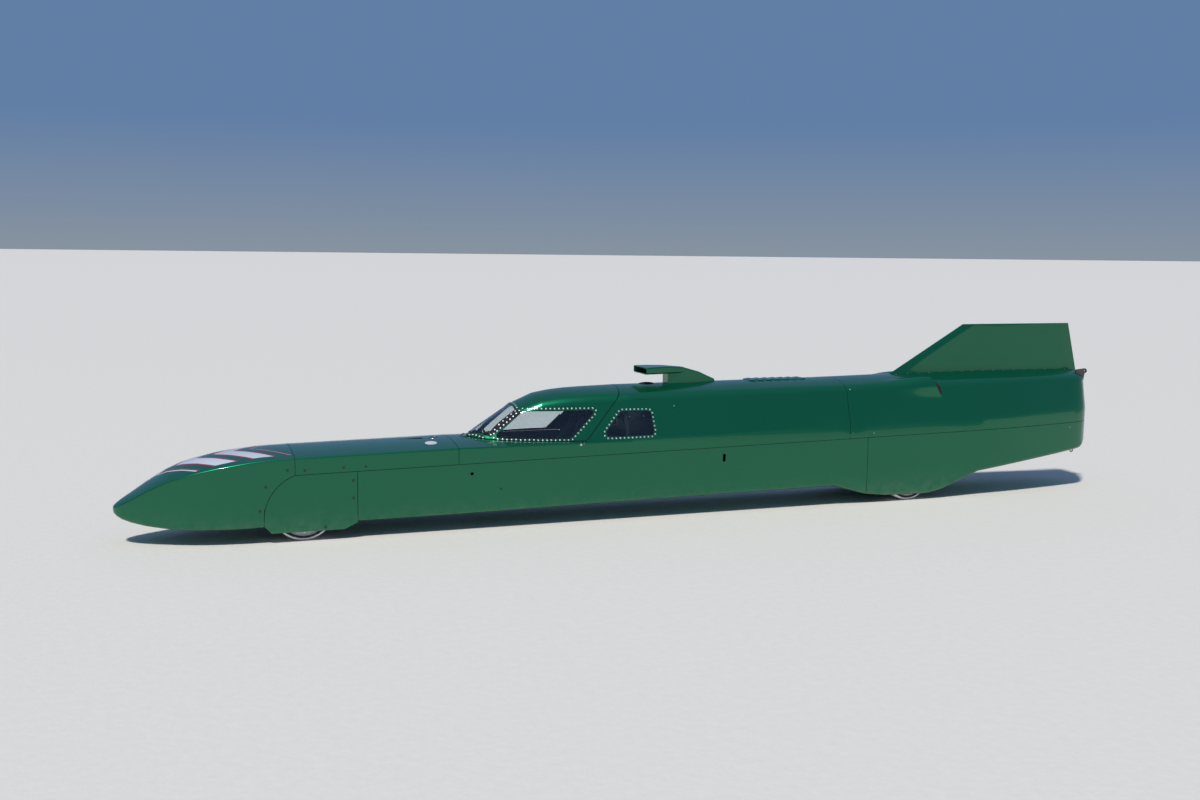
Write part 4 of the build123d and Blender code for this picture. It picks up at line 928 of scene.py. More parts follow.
# %% Screws on the skin: tail panel, blisters and fin root
FIN_ROOT = [(-1.75 - 0.09 * i, side * 0.024) for i in range(17) for side in (1, -1)]
BLISTER_FOOT = [(-1.64 - 0.055 * i, 0.728 - 0.0035 * i) for i in range(6)]
SINGLE_SCREWS = [(-1.262, 0.765), (-1.417, 0.476), (0.02, 0.70), (-3.10, 0.44), (0.635, 0.492)]
SMALL_RADIUS, SMALL_HEIGHT = 0.0034, 0.0012
tail_places = [from_above(hull_skin, x, y) for x, y in FIN_ROOT]
tail_places += from_both_sides(hull_skin, BLISTER_FOOT) + from_both_sides(hull_skin, SINGLE_SCREWS)
tail_places = [place for place in tail_places if place[0]]
tail_screws = copies("tail_screws", button_screw(SMALL_RADIUS, SMALL_HEIGHT), tail_places)
finish_piece(tail_screws, "chassis", screw_steel, "bright_steel")
print("tail screws", len(tail_places))

# %% [markdown]
# ## The painted nose
# The top of the nose carries a bright design. It could be a decal mesh, but paint has no thickness, so it is
# a mask in the nose's own material: chevrons of white with a red and a dark edge, worked out from how far
# forward and how far across a point lies.

# %% Chevrons on the nose
CHEVRON_FRONT, CHEVRON_REAR, CHEVRON_STEP, CHEVRON_SWEEP, CHEVRON_TAPER = 3.10, 2.58, 0.205, 0.9, 0.55
CHEVRON_HALF, CHEVRON_LOWEST = 0.225, 0.27
EDGE_RED, BAND_WHITE, EDGE_DARK = (0.35, 0.02, 0.03), (0.60, 0.60, 0.62), (0.035, 0.018, 0.012)
BAND_STARTS = [(0.07, BAND_WHITE), (0.60, EDGE_RED), (0.67, EDGE_DARK)]
BAND_END = 0.74


def chevrons(finish, color):
    """The colour with chevrons over it on the top of the nose, and a mask of where the colour still shows."""
    tree = finish.tree
    axes = axes_of(tree, object_place(tree))
    across = math_node(tree, "ABSOLUTE", axes["Y"])
    swept = plus(tree, axes["X"], times(tree, across, CHEVRON_SWEEP))
    turn = math_node(tree, "FRACT", times(tree, swept, 1 / CHEVRON_STEP))
    taper = times(tree, math_node(tree, "SUBTRACT", NOSE_TIP, axes["X"]), CHEVRON_TAPER)
    inside = math_node(tree, "LESS_THAN", turn, BAND_END)
    for test, value, limit in (("LESS_THAN", across, taper), ("LESS_THAN", across, CHEVRON_HALF),
                               ("GREATER_THAN", swept, CHEVRON_REAR), ("LESS_THAN", swept, CHEVRON_FRONT),
                               ("GREATER_THAN", axes["Z"], CHEVRON_LOWEST)):
        inside = times(tree, inside, math_node(tree, test, value, limit))
    design = EDGE_RED
    for band_start, band in BAND_STARTS:
        design = finish.mix(math_node(tree, "GREATER_THAN", turn, band_start), design, band)
    return finish.mix(inside, color, design), math_node(tree, "SUBTRACT", 1.0, inside)


panels["nose_cone"].data.materials[0] = paint("nose_paint", chevrons)
print("nose tip at", round(NOSE_TIP, 3))

# %% [markdown]
# ## Turned parts
# Tyres, caps, gauges and packs are round. Each is a half section drawn by extruding one point, then spun
# about an axis, which is how most of them would be made on a lathe.

# %% Turning
SAME_POINT = 0.00001
TURNING_LINES = {"Z": (Vector((0, 0, 1)), Vector((1, 0, 0))), "Y": (Vector((0, 1, 0)), Vector((0, 0, 1))),
                 "X": (Vector((1, 0, 0)), Vector((0, 0, 1)))}


def turned(name, profile, axis="Z", steps=48, sharp=35):
    """A closed profile of (along, radius) points spun round an axis through the origin."""
    along, outward = TURNING_LINES[axis]
    points = [along * a + outward * r for a, r in profile]
    obj = start(bpy.ops.mesh.primitive_plane_add, name, size=1)
    bpy.ops.object.mode_set(mode="EDIT")
    bpy.ops.mesh.select_mode(type="VERT")
    bpy.ops.mesh.select_all(action="SELECT")
    bpy.ops.mesh.merge(type="CENTER")
    bpy.ops.transform.translate(value=points[0])
    for here, there in zip(points, points[1:] + points[:1]):
        bpy.ops.mesh.extrude_region_move(TRANSFORM_OT_translate={"value": there - here})
    bpy.ops.mesh.select_all(action="SELECT")
    bpy.ops.mesh.remove_doubles(threshold=SAME_POINT)
    bpy.ops.mesh.spin(steps=steps, angle=2 * pi, center=(0, 0, 0), axis=along)
    bpy.ops.mesh.select_all(action="SELECT")
    bpy.ops.mesh.remove_doubles(threshold=SAME_POINT)
    bpy.ops.mesh.normals_make_consistent(inside=False)
    return settle(obj, sharp)


# %% [markdown]
# ## Tyres and wheels
# Land speed tyres are thin, hard and almost treadless. The CAD tyre holds their size. Here each is turned
# again with a rounded shoulder, three shallow grooves, a bead flange and a rib on the sidewall, and salt
# packed on the shoulder, where a number on each point tells the material how far out it lies. That salt is
# whiter than the salt film on the body, partly as painted light.

# %% Tyre material
# The packed salt is salt, made whiter than the salt film as painted light, as if the sun reached the
# shoulder.
TYRE_BLACK, PACKED_SALT_AND_PAINTED_LIGHT = (0.016, 0.016, 0.017), (0.86, 0.85, 0.83)


def tyre_finish():
    """Black rubber, white with salt where the reach number is high. The salt's white is partly painted light.
    """
    finish = Finish("tyre_rubber", TYRE_BLACK, 0.7)
    tree = finish.tree
    place = object_place(tree)
    reach = tree.nodes.new("ShaderNodeAttribute")
    reach.attribute_name = "reach"
    clouds = noise(tree, place, scale=26.0, detail=6.0, roughness=0.7)
    grains = noise(tree, place, scale=500.0, detail=2.0)
    edge = ramp(tree, plus(tree, reach.outputs["Fac"], times(tree, clouds, 0.16)), low=0.56, high=0.64)
    patches = times(tree, ramp(tree, clouds, low=0.55, high=0.8), 0.3)
    salted = math_node(tree, "MAXIMUM", edge, patches, clamp=True)
    finish.link(finish.mix(salted, TYRE_BLACK, PACKED_SALT_AND_PAINTED_LIGHT), "Base Color")
    finish.link(finish.value(salted, 0.62, 0.95), "Roughness")
    finish.bump(plus(tree, grains, times(tree, salted, 1.5)), strength=0.35, distance=0.0008)
    return finish.material


tyre_rubber = tyre_finish()
print("tyre material", len(tyre_rubber.node_tree.nodes), "nodes")

# %% Turning the tyres
TYRE_OUT, RIM_OUT = 0.178, 0.1503
GROOVE_DEEP, GROOVE_HALF, GROOVE_FLOOR, CROWN_DROP = 0.003, 0.0022, 0.6, 0.0008
SIDEWALL = [(0.006, RIM_OUT), (0.001, 0.1535), (0, 0.158), (0, 0.164), (0.0015, 0.1645), (0.0015, 0.1665),
            (0.003, 0.1705), (0.0065, 0.1745), (0.012, 0.1768)]
WHEELS = [f"{end}_wheel_{side}" for end in ("front", "rear") for side in ("left", "right")]


def tyre_profile(width):
    """Half section of a tyre, from its inner bead round the tread to its outer bead."""
    half = width / 2
    inner = [(inset - half, radius) for inset, radius in SIDEWALL]
    tread = []
    for middle in (-0.5 * half, 0.0, 0.5 * half):
        crown = TYRE_OUT - CROWN_DROP * (middle / half) ** 2
        floor = GROOVE_FLOOR * GROOVE_HALF
        tread += [(middle - GROOVE_HALF, crown), (middle - floor, crown - GROOVE_DEEP),
                  (middle + floor, crown - GROOVE_DEEP), (middle + GROOVE_HALF, crown)]
    return inner + tread + [(-along, radius) for along, radius in reversed(inner)]


def mark_reach(tyre):
    """Give each point of a tyre about Y its share of the way from rim to tread."""
    layer = tyre.data.attributes.new("reach", "FLOAT", "POINT")
    for vertex, entry in zip(tyre.data.vertices, layer.data):
        entry.value = (Vector((vertex.co.x, vertex.co.z)).length - RIM_OUT) / (TYRE_OUT - RIM_OUT)


for node in [wheel.replace("wheel", "tyre") for wheel in WHEELS]:
    low, high = (Vector(corner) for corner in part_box(node))
    tyre = turned(f"{node}_moulded", tyre_profile(high.y - low.y), "Y", 96, 50)
    mark_reach(tyre)
    placed(tyre, *((low + high) / 2))
    finish_piece(tyre, body_of[node], tyre_rubber, "tyre_rubber")
    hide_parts(node)
print("tyre faces", len(tyre.data.polygons))

# %% [markdown]
# ## Wheel discs
# A flat cover closes each wheel. Six quarter-turn fasteners hold it, a rolled ring stiffens it, and a
# valve stem comes out near its rim.

# %% Fasteners, ring and valve on each wheel
FASTENER_CIRCLE, ROLLED_RING, VALVE_AT, DISC_IN = 0.118, 0.098, 0.131, 0.004
RING_PROFILE = [(0, ROLLED_RING - 0.004), (0.0016, ROLLED_RING - 0.002), (0.002, ROLLED_RING),
                (0.0016, ROLLED_RING + 0.002), (0, ROLLED_RING + 0.004)]
STEM_PROFILE = [(-0.001, 0), (-0.001, 0.004), (0.0015, 0.004), (0.0015, 0.0026), (0.0032, 0.0026),
                (0.0036, 0)]
HEAD_RADIUS, HEAD_HEIGHT = 0.006, 0.0022
SIX_TURNS = [2 * pi * i / 6 for i in range(6)]


def wheel_dressing(node):
    """Ring, fasteners and valve on a wheel's outer face, all in its body's frame."""
    low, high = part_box(node)
    side = 1 if high[1] > 0 else -1
    face = side * (max(abs(low[1]), abs(high[1])) - DISC_IN)
    centre = Vector(((low[0] + high[0]) / 2, face, (low[2] + high[2]) / 2))
    ring = placed(scaled(turned("ring", RING_PROFILE, "Y", 72), 1, side, 1), *centre)
    stem = scaled(turned("stem", STEM_PROFILE, "Y", 12), 1, side, 1)
    placed(stem, centre.x, centre.y, centre.z - VALVE_AT)
    spots = [centre + Vector((cos(turn), 0, sin(turn))) * FASTENER_CIRCLE for turn in SIX_TURNS]
    head = button_screw(HEAD_RADIUS, HEAD_HEIGHT)
    heads = copies("heads", head, [(spot, Vector((0, side, 0))) for spot in spots])
    ring.data.materials.append(disc_grey)
    for small in (stem, heads):
        small.data.materials.append(screw_steel)
    dressing = joined(f"{node}_fittings", [ring, stem, heads])
    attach(dressing, body_of[node])


for node in WHEELS:
    wheel_dressing(node)
print("wheels dressed", len(WHEELS))

# %% [markdown]
# ## Roof louvres, cap and vents
# Hot air leaves the engine through seven slots. A pressed hood stands over each, open to the rear. One hood
# is a box whose front top edge is pushed down, with its back and floor taken away and a wall's thickness
# given to what is left. It is modelled facing backwards, because copies on a level place turn half round.

# %% Louvre hoods
HOOD_LONG, HOOD_WIDE, HOOD_HIGH, HOOD_SUNK, HOOD_WALL = 0.042, 0.126, 0.0055, 0.0045, 0.0012
HOOD_COUNT, HOOD_STEPS, HOOD_LIP, HOOD_EDGE = 7, 7.5, 0.001, 0.006


def along_car(edge):
    """Whether both ends of an edge lie equally far to the side."""
    return abs(edge.verts[0].co.y - edge.verts[1].co.y) < 0.001


def louvre_hood():
    """One pressed hood, open to the front, with its foot under z = 0."""
    size, centre = (HOOD_LONG, HOOD_WIDE, HOOD_HIGH + HOOD_SUNK), (0, 0, (HOOD_HIGH - HOOD_SUNK) / 2)
    hood = block("hood", size, centre)
    pick(hood, lambda edge: all(v.co.z > 0 and v.co.x < 0 for v in edge.verts), "EDGE")
    bpy.ops.transform.translate(value=(0, 0, HOOD_LIP - HOOD_HIGH))
    pick(hood, lambda edge: min(v.co.z for v in edge.verts) > 0 and along_car(edge), "EDGE")
    bpy.ops.mesh.bevel(offset=HOOD_EDGE, segments=4, affect="EDGES")
    pick(hood, lambda face: face.normal.x > 0.9 or face.normal.z < -0.9)
    bpy.ops.mesh.delete(type="FACE")
    hood.modifiers.new("wall", "SOLIDIFY").thickness = HOOD_WALL
    return settle(hood, 40)


louvre_low, louvre_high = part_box("roof_louvre")
slot_step = (louvre_high[0] - louvre_low[0]) / HOOD_STEPS
slot_middle = (louvre_high[0] + louvre_low[0]) / 2
hood_x = [slot_middle + slot_step * (i - HOOD_COUNT // 2) for i in range(HOOD_COUNT)]
hood_places = [(Vector((x, 0, louvre_high[2] - PROUD)), Vector((0, 0, 1))) for x in hood_x]
finish_piece(copies("louvre_hoods", louvre_hood(), hood_places), "chassis", body_paint, "body_paint")
print("hoods", len(hood_places))

# %% [markdown]
# A dark oval cap sits on the roof under the scoop's mouth. On each flank a short vent slit is a black bead
# sunk into the skin, painted shade for the opening. Two larger fasteners cover the access holes ahead of the
# canopy, and two bright pins latch it.

# %% Roof cap, flank vents in painted shade, access caps and latch pins
CAP_X, CAP_LONG = 0.112, 1.7
CAP_PROFILE = [(-0.002, 0), (-0.002, 0.031), (0.0015, 0.031), (0.003, 0.028), (0.0065, 0.022),
               (0.0085, 0.012), (0.009, 0)]
VENT_FROM, VENT_TO, VENT_Z, VENT_RADIUS, VENT_PROUD, VENT_POINTS = 0.275, 0.135, 0.746, 0.0045, 0.0009, 12
ACCESS_RADIUS, ACCESS_AT, PIN_RADIUS, PIN_AT, CAP_HIGH = 0.021, (1.461, 0.431), 0.007, (0.655, 0.486), 0.0005

roof_skin = surface_tree(panels["middle_upper_body"], panels["roof_louvre"])
cap = scaled(turned("roof_cap", CAP_PROFILE, "Z", 32, 60), CAP_LONG, 1, 1)
placed(cap, *from_above(roof_skin, CAP_X, 0)[0])
finish_piece(cap, "chassis", seal_and_shade_black, "grip_black")

# Each vent slit is a black bead sunk into the skin: painted shade where the vent opens.
vent_x = [VENT_FROM + (VENT_TO - VENT_FROM) * i / VENT_POINTS for i in range(VENT_POINTS + 1)]
for side_name, side in SIDES:
    hits = [from_side(hull_skin, x, VENT_Z, side) for x in vent_x]
    sunk = [spot - normal * (VENT_RADIUS - VENT_PROUD) for spot, normal in hits]
    slit = bead(f"flank_vent_shade_{side_name}", sunk, VENT_RADIUS, closed=False)
    finish_piece(slit, "chassis", seal_and_shade_black, "grip_black")

for name, radius, place, material, slot in (
        ("access_caps", ACCESS_RADIUS, ACCESS_AT, body_paint, "body_paint"),
        ("latch_pins", PIN_RADIUS, PIN_AT, screw_steel, "bright_steel")):
    discs = copies(name, quarter_turn(radius, CAP_HIGH), from_both_sides(hull_skin, [place]))
    finish_piece(discs, "chassis", material, slot)
    print(name, "at", place)

# %% [markdown]
# The filler cap lies flush in the deck. Its rim is a turned ring, and its lever is a bar with a rounded top
# and a shallow finger recess pressed into it.

# %% Filler cap: rim and lever
LEVER_SIZE, LEVER_RISE, LEVER_EDGE = (0.036, 0.011, 0.003), 0.0012, 0.0012
RECESS_IN, RECESS_DEEP = 0.002, 0.0006
RIM_SECTION = [(-0.001, -0.006), (0.0012, -0.005), (0.0016, -0.003), (0.0012, -0.001), (-0.001, 0)]
cap_low, cap_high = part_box("filler_cap")
filler_x, filler_radius = (cap_low[0] + cap_high[0]) / 2, (cap_high[0] - cap_low[0]) / 2
rim = turned("filler_rim", [(rise, filler_radius + out) for rise, out in RIM_SECTION])
placed(rim, filler_x, 0, cap_high[2] - CAP_HIGH)
lever = block("lever", LEVER_SIZE, (filler_x, 0, cap_high[2] + LEVER_RISE))
pick(lever, lambda edge: min(v.co.z for v in edge.verts) > cap_high[2], "EDGE")
bpy.ops.mesh.bevel(offset=LEVER_EDGE, segments=2, affect="EDGES")
pick(lever, lambda face: face.normal.z > 0.9)
bpy.ops.mesh.inset(thickness=RECESS_IN, depth=-RECESS_DEEP)
settle(lever, 35)
finish_piece(joined("filler_fittings", [rim, lever]), "chassis", machined_steel, "bright_steel")
print("filler radius", round(filler_radius, 4))

# %% [markdown]
# The scoop's mouth has a rolled lip that stiffens its thin sheet: the outline of the opening with cut
# corners, and a round bead along it.

# %% Rolled lip on the scoop
MOUTH_HALF, MOUTH_LOW, MOUTH_HIGH, MOUTH_X, MOUTH_CUT, LIP_RADIUS = 0.109, 0.888, 0.929, 0.1545, 0.008, 0.0026
mouth = rounded([(-MOUTH_HALF, MOUTH_LOW), (MOUTH_HALF, MOUTH_LOW), (MOUTH_HALF, MOUTH_HIGH),
                 (-MOUTH_HALF, MOUTH_HIGH)], MOUTH_CUT, steps=1)
lip = bead("scoop_lip", [(MOUTH_X, y, z) for y, z in mouth], LIP_RADIUS)
finish_piece(lip, "chassis", body_paint, "body_paint")
print("scoop lip", len(lip.data.polygons), "faces")

# %% [markdown]
# ## Sheets that follow a surface
# Trim strips, the outlet bulges and webbing are all thin sheets that follow something. Each starts as a flat
# grid, and a short function says where its points go. Solidify then gives it a wall.

# %% Wrapped sheets
def sheet(name, columns, rows, place, thickness=0.0, outward=None, sharp=40):
    """A grid whose points go to place(u, v), u and v from 0 to 1, facing outward, with a wall behind it."""
    obj = start(bpy.ops.mesh.primitive_grid_add, name, size=1, x_subdivisions=columns, y_subdivisions=rows)
    for vertex in obj.data.vertices:
        vertex.co = place(vertex.co.x + 0.5, vertex.co.y + 0.5)
    obj.data.update()
    if outward and sum(face.normal.dot(outward) * face.area for face in obj.data.polygons) < 0:
        on_all(obj, bpy.ops.mesh.flip_normals)
    if thickness:
        obj.modifiers.new("wall", "SOLIDIFY").thickness = thickness
    return settle(obj, sharp)


# %% [markdown]
# The pillars between windscreen and side windows are covered by black strips. Each strip runs between two
# lines on the canopy, and every point between them is moved to the nearest place on the glass or the shell.

# %% Dark trim on the windscreen pillars
TRIM_PROUD, TRIM_THICK = 0.0009, 0.0008
SIDE_EDGE = [Vector((1.181, 0.537)), Vector((0.990, 0.686))]
FRONT_EDGE = [Vector((1.205, 0.123)), Vector((1.025, 0.107))]
closed_canopy = surface_tree(panels["canopy_shell"], nodes["windshield"], nodes["canopy_windows"])


def pillar_trim(side):
    """A black strip from the side window's front edge to the windshield's side edge."""
    def place(u, v):
        low, high = SIDE_EDGE[0].lerp(SIDE_EDGE[1], v), FRONT_EDGE[0].lerp(FRONT_EDGE[1], v)
        below = from_side(closed_canopy, low.x, low.y, side)[0]
        above = from_above(closed_canopy, high.x, side * high.y)[0]
        spot, normal = closed_canopy.find_nearest(below.lerp(above, u))[:2]
        return spot + normal * TRIM_PROUD
    return sheet("trim", 8, 24, place, TRIM_THICK, Vector((0.5, side, 0.5)))


trims = joined("pillar_trims", [pillar_trim(side) for side in (1, -1)])
finish_piece(trims, "canopy", seal_and_shade_black, "grip_black")
print("trim", len(trims.data.polygons), "faces")

# %% [markdown]
# ## Air outlets
# The outlets are pressed out of the tail's skin, so they grow from it with no edge at all and end in an open
# lip. The CAD bulge gives their place and height. Here the sheet is the hull's own skin, pushed out along
# its normals by a hump that fades to nothing in front, above and below. A black sheet under each bulge is
# painted shade in its opening, and a black strip on the skin behind each lip is painted shade too.

# %% Points on the tail's shoulder
BULGE_START, LIP_TOP, LIP_FOOT = -1.46, Vector((-1.868, 0.862)), Vector((-1.972, 0.700))
BULGE_OUT, BULGE_WALL, BULGE_LOW_TURN, BULGE_HIGH_TURN = 0.034, 0.003, -0.14, 1.45
BULGE_HEART, SHOULDER_RADIUS = Vector((0, 0.115, 0.690)), 0.16
tail_skin = surface_tree(panels["tail_upper_body"])


def smooth_step(t):
    """From 0 to 1 with a level start and end."""
    t = min(1.0, max(0.0, t))
    return t * t * (3 - 2 * t)


def shoulder_turn(v):
    """The angle round the shoulder at v, from 0 low down to 1 on top."""
    return BULGE_LOW_TURN + (BULGE_HIGH_TURN - BULGE_LOW_TURN) * v


def lip_x(turn):
    """Place of the slanted lip at an angle round the shoulder."""
    z = BULGE_HEART.z + SHOULDER_RADIUS * sin(turn)
    return LIP_FOOT.x + (LIP_TOP.x - LIP_FOOT.x) * (z - LIP_FOOT.y) / (LIP_TOP.y - LIP_FOOT.y)


def over_shoulder(side, x, turn, rise):
    """A point a little above the tail's skin."""
    direction = Vector((0, side * cos(turn), sin(turn)))
    origin = Vector((x, side * BULGE_HEART.y, BULGE_HEART.z))
    return tail_skin.ray_cast(origin + direction * FAR_OUT, -direction)[0] + direction * rise


print("lip at the side", round(lip_x(0), 3))

# %% Outlet bulges, with painted shade in their throats
BULGE_LIFT, THROAT_GAP, THROAT_END = 0.0006, 0.0004, 0.995


def hump(u, v):
    """How far the skin is pushed out: u along the car, v round the shoulder."""
    return smooth_step(u * 1.05) ** 1.3 * smooth_step(min(1.45 * v, 3.2 * (1 - v)))


def bulge_place(side, depth=0.0, end_share=1.0):
    """Places on the bulge, or a depth under it, as far as a share of its length."""
    def place(u, v):
        turn = shoulder_turn(v)
        x = BULGE_START + (lip_x(turn) - BULGE_START) * u * end_share
        return over_shoulder(side, x, turn, BULGE_OUT * hump(u * end_share, v) - depth + BULGE_LIFT)
    return place


for side_name, side in SIDES:
    outlet = sheet(f"outlet_{side_name}", 40, 44, bulge_place(side), BULGE_WALL, Vector((0, side, 1)), 60)
    finish_piece(outlet, "chassis", body_paint, "body_paint")
    # Under each bulge a black sheet is painted shade for the dark inside of the opening.
    under = bulge_place(side, BULGE_WALL + THROAT_GAP, THROAT_END)
    throat = sheet(f"outlet_throat_shade_{side_name}", 24, 32, under, outward=Vector((0, -side, -1)), sharp=60)
    finish_piece(throat, "chassis", seal_and_shade_black, "grip_black")
    if side == 1:
        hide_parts("outlet_blisters")
bpy.data.objects.remove(panels.pop("outlet_blisters"))
print("outlet faces", len(outlet.data.polygons))

# %% Painted shade behind the outlets
SHADE_WIDE, SHADE_LOW, SHADE_SHARE, SHADE_UNDER, SHADE_LIFT = 0.050, 0.14, 0.74, 0.010, 0.0005


def shade_strip_place(side):
    """A strip of painted shade on the skin behind a lip, wide in the middle and gone at both ends."""
    def place(u, v):
        turn = shoulder_turn(SHADE_LOW + SHADE_SHARE * v)
        x = lip_x(turn) + SHADE_UNDER - (SHADE_UNDER + SHADE_WIDE * sin(pi * v)) * u
        return over_shoulder(side, x, turn, SHADE_LIFT)
    return place


# Black strips of painted shade on the skin behind each lip.
soot = [sheet("soot", 8, 36, shade_strip_place(side), outward=Vector((0, side, 1)), sharp=60) for side in (1, -1)]
finish_piece(joined("outlet_painted_shade", soot), "chassis", seal_and_shade_black, "grip_black")
print("soot strips", len(soot))

# %% [markdown]
# The pale cap on the deck is one turned shape with a shallow dish in it, set along the deck's normal. The
# two lugs under the tail each carry a plain ring for tying the car down.

# %% Pale cap on the deck, and rings under the tail
DECK_CAP_AT = (1.556, 0.155)
DECK_CAP_PROFILE = [(-0.003, 0), (-0.003, 0.036), (0.0006, 0.036), (0.0016, 0.0345), (0.0016, 0.031),
                    (0.0009, 0.030), (0.0012, 0.012), (0.0022, 0.011), (0.0022, 0)]
LUG_RING, LUG_WIRE, LUG_IN, RING_UP = 0.011, 0.0038, 0.008, 0.003
dished_cap = turned("dished_cap", DECK_CAP_PROFILE, "Z", 40)
deck_cap = copies("deck_cap", dished_cap, [from_above(hull_skin, *DECK_CAP_AT)])
finish_piece(deck_cap, "chassis", cap_white, "bright_steel")

lug_low, lug_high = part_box("tail_lugs")
ring_x, ring_z = (lug_low[0] + lug_high[0]) / 2, lug_low[2] - LUG_RING + RING_UP
rings = [settle(start(bpy.ops.mesh.primitive_torus_add, "ring", major_radius=LUG_RING, minor_radius=LUG_WIRE,
                      major_segments=28, minor_segments=10, rotation=(pi / 2, 0, 0),
                      location=(ring_x, side * (lug_high[1] - LUG_IN), ring_z)), 60) for side in (1, -1)]
finish_piece(joined("lug_rings", rings), "chassis", dark_steel, "bright_steel")
print("deck cap", len(deck_cap.data.vertices), "points")

# %% [markdown]
# ## Soft goods
# Cushions are real cloth shells here. A slightly small block is remeshed evenly, blown up as cloth with
# gravity off, held back so that no point travels too far, and smoothed. Channels are sewn in afterwards.

# %% Stuffing a shape
CLOTH_FRAMES, PRESSURE = 20, 4.0


def blown_up(shape, reach):
    """Swell a shape as cloth, its points moving no further than reach."""
    at_rest = [vertex.co.copy() for vertex in shape.data.vertices]
    puff = shape.modifiers.new("puff", "CLOTH")
    puff.settings.use_pressure, puff.settings.uniform_pressure_force = True, PRESSURE
    puff.settings.effector_weights.gravity = 0
    puff.point_cache.frame_end = CLOTH_FRAMES
    for moment in range(1, CLOTH_FRAMES + 1):
        bpy.context.scene.frame_set(moment)
    bpy.ops.object.modifier_apply(modifier=puff.name)
    bpy.context.scene.frame_set(1)
    for vertex, rest in zip(shape.data.vertices, at_rest):
        moved = vertex.co - rest
        if moved.length > reach:
            vertex.co = rest + moved * (reach / moved.length)


def stuffed(shape, voxel, reach):
    """Turn a closed block into a swollen cushion."""
    only(shape)
    even = shape.modifiers.new("even", "REMESH")
    even.mode, even.voxel_size = "VOXEL", voxel
    bpy.ops.object.modifier_apply(modifier=even.name)
    blown_up(shape, reach)
    finer = shape.modifiers.new("finer", "SUBSURF")
    finer.levels = finer.render_levels = 1
    settle(shape, 80)
    return shape


def sewn(shape, depth_at):
    """Pull points in along their normals by depth_at(place)."""
    shape.data.update()
    pulls = [(vertex, vertex.normal * depth_at(vertex.co)) for vertex in shape.data.vertices]
    for vertex, pull in pulls:
        vertex.co -= pull
    shape.data.update()
    return shape


def groove(distance, width, depth):
    """Depth of a stitched channel at a distance from its line."""
    return depth * max(0.0, 1 - (distance / width) ** 2) ** 2


# %% [markdown]
# The seat pad is one long cushion that follows the shell's bent line from the thighs to the shoulders. Its
# upper and lower faces are wrapped sheets whose open edges are bridged, which makes the closed block that
# the stuffing needs.

# %% Following the seat
SEAT_LINE = [Vector((1.0243, 0, 0.2063)), Vector((0.9343, 0, 0.1523)), Vector((0.7793, 0, 0.1463)),
             Vector((0.4693, 0, 0.6083))]
SEAT_LENGTH = 0.816
SEAT_THICK, SEAT_HALF_WIDE, SEAT_SHRINK = (0.011, 0.027, 0.040, 0.034), 0.1807, 0.005
SEAT_END, EDGE_DROP, EDGE_POWER = 0.015, 0.35, 6
SMOOTHED_OVER = (-0.05, -0.025, 0, 0.025, 0.05)


def along_line(line, share):
    """Point and direction at a share of a bent line's length, and how many of its runs lie before it."""
    runs = [b - a for a, b in zip(line, line[1:])]
    left = share * sum(run.length for run in runs)
    for i, run in enumerate(runs):
        if left <= run.length or i == len(runs) - 1:
            return line[i] + run * (left / run.length), run.normalized(), i + left / run.length
        left -= run.length


def seat_normal(direction):
    """Up and forward from the seat's line."""
    return Vector((-direction.z, 0, direction.x)) * (-1 if direction.x < 0 else 1)


def smooth_normal(share):
    """The seat's normal, turned smoothly through its corners."""
    total = Vector((0, 0, 0))
    for step in SMOOTHED_OVER:
        total += seat_normal(along_line(SEAT_LINE, min(1, max(0, share + step)))[1])
    return total.normalized()


def seat_place(u, v, height):
    """Point of the cushion: u along the seat, v across it, height above the shell."""
    point, direction, spot = along_line(SEAT_LINE, u)
    i = min(int(spot), len(SEAT_THICK) - 2)
    thick = SEAT_THICK[i] + (SEAT_THICK[i + 1] - SEAT_THICK[i]) * (spot - i)
    edge = 1 - EDGE_DROP * abs(2 * v - 1) ** EDGE_POWER
    rise = SEAT_SHRINK * 0.5 + height * (thick - SEAT_SHRINK) * edge
    return point + smooth_normal(u) * rise + Vector((0, (2 * v - 1) * (SEAT_HALF_WIDE - SEAT_SHRINK), 0))


def cushion_face(height, facing):
    """The cushion's upper or lower face."""
    return sheet("face", 60, 24, lambda u, v: seat_place(SEAT_END + (1 - 2 * SEAT_END) * u, v, height),
                 outward=Vector((0, 0, facing)))


print("middle of the seat", along_line(SEAT_LINE, 0.5)[0])

# %% Seat cushion
CHANNEL_SHARES = (0.14, 0.27, 0.385, 0.50, 0.615, 0.73, 0.845)
CHANNEL_WIDE, CHANNEL_DEEP, SIDE_CHANNEL_IN, CHANNEL_REACH = 0.007, 0.005, 0.062, 0.22
channel_lines = [along_line(SEAT_LINE, share)[:2] for share in CHANNEL_SHARES]


def seat_channels(co):
    """Sewn channels across the seat, and one along each side."""
    from_side_channel = abs(co.y) - (SEAT_HALF_WIDE - SIDE_CHANNEL_IN)
    deep = groove(from_side_channel, CHANNEL_WIDE, CHANNEL_DEEP)
    if from_side_channel < 0:
        near = [(co - point).dot(direction) for point, direction in channel_lines
                if (co - point).length < CHANNEL_REACH]
        deep = max([deep] + [groove(distance, CHANNEL_WIDE, CHANNEL_DEEP) for distance in near])
    return deep


seat_cushion = joined("seat_cushion", [cushion_face(1.0, 1), cushion_face(0.0, -1)])
pick(seat_cushion, lambda edge: edge.is_boundary, "EDGE")
bpy.ops.mesh.bridge_edge_loops()
settle(seat_cushion)
on_all(seat_cushion, bpy.ops.mesh.normals_make_consistent, inside=False)
stuffed(seat_cushion, voxel=0.0065, reach=0.005)
sewn(seat_cushion, seat_channels)
finish_piece(seat_cushion, body_of["seat_pad"], seat_cloth, "cushion_cloth")
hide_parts("seat_pad")
print("seat cushion", len(seat_cushion.data.polygons), "faces")

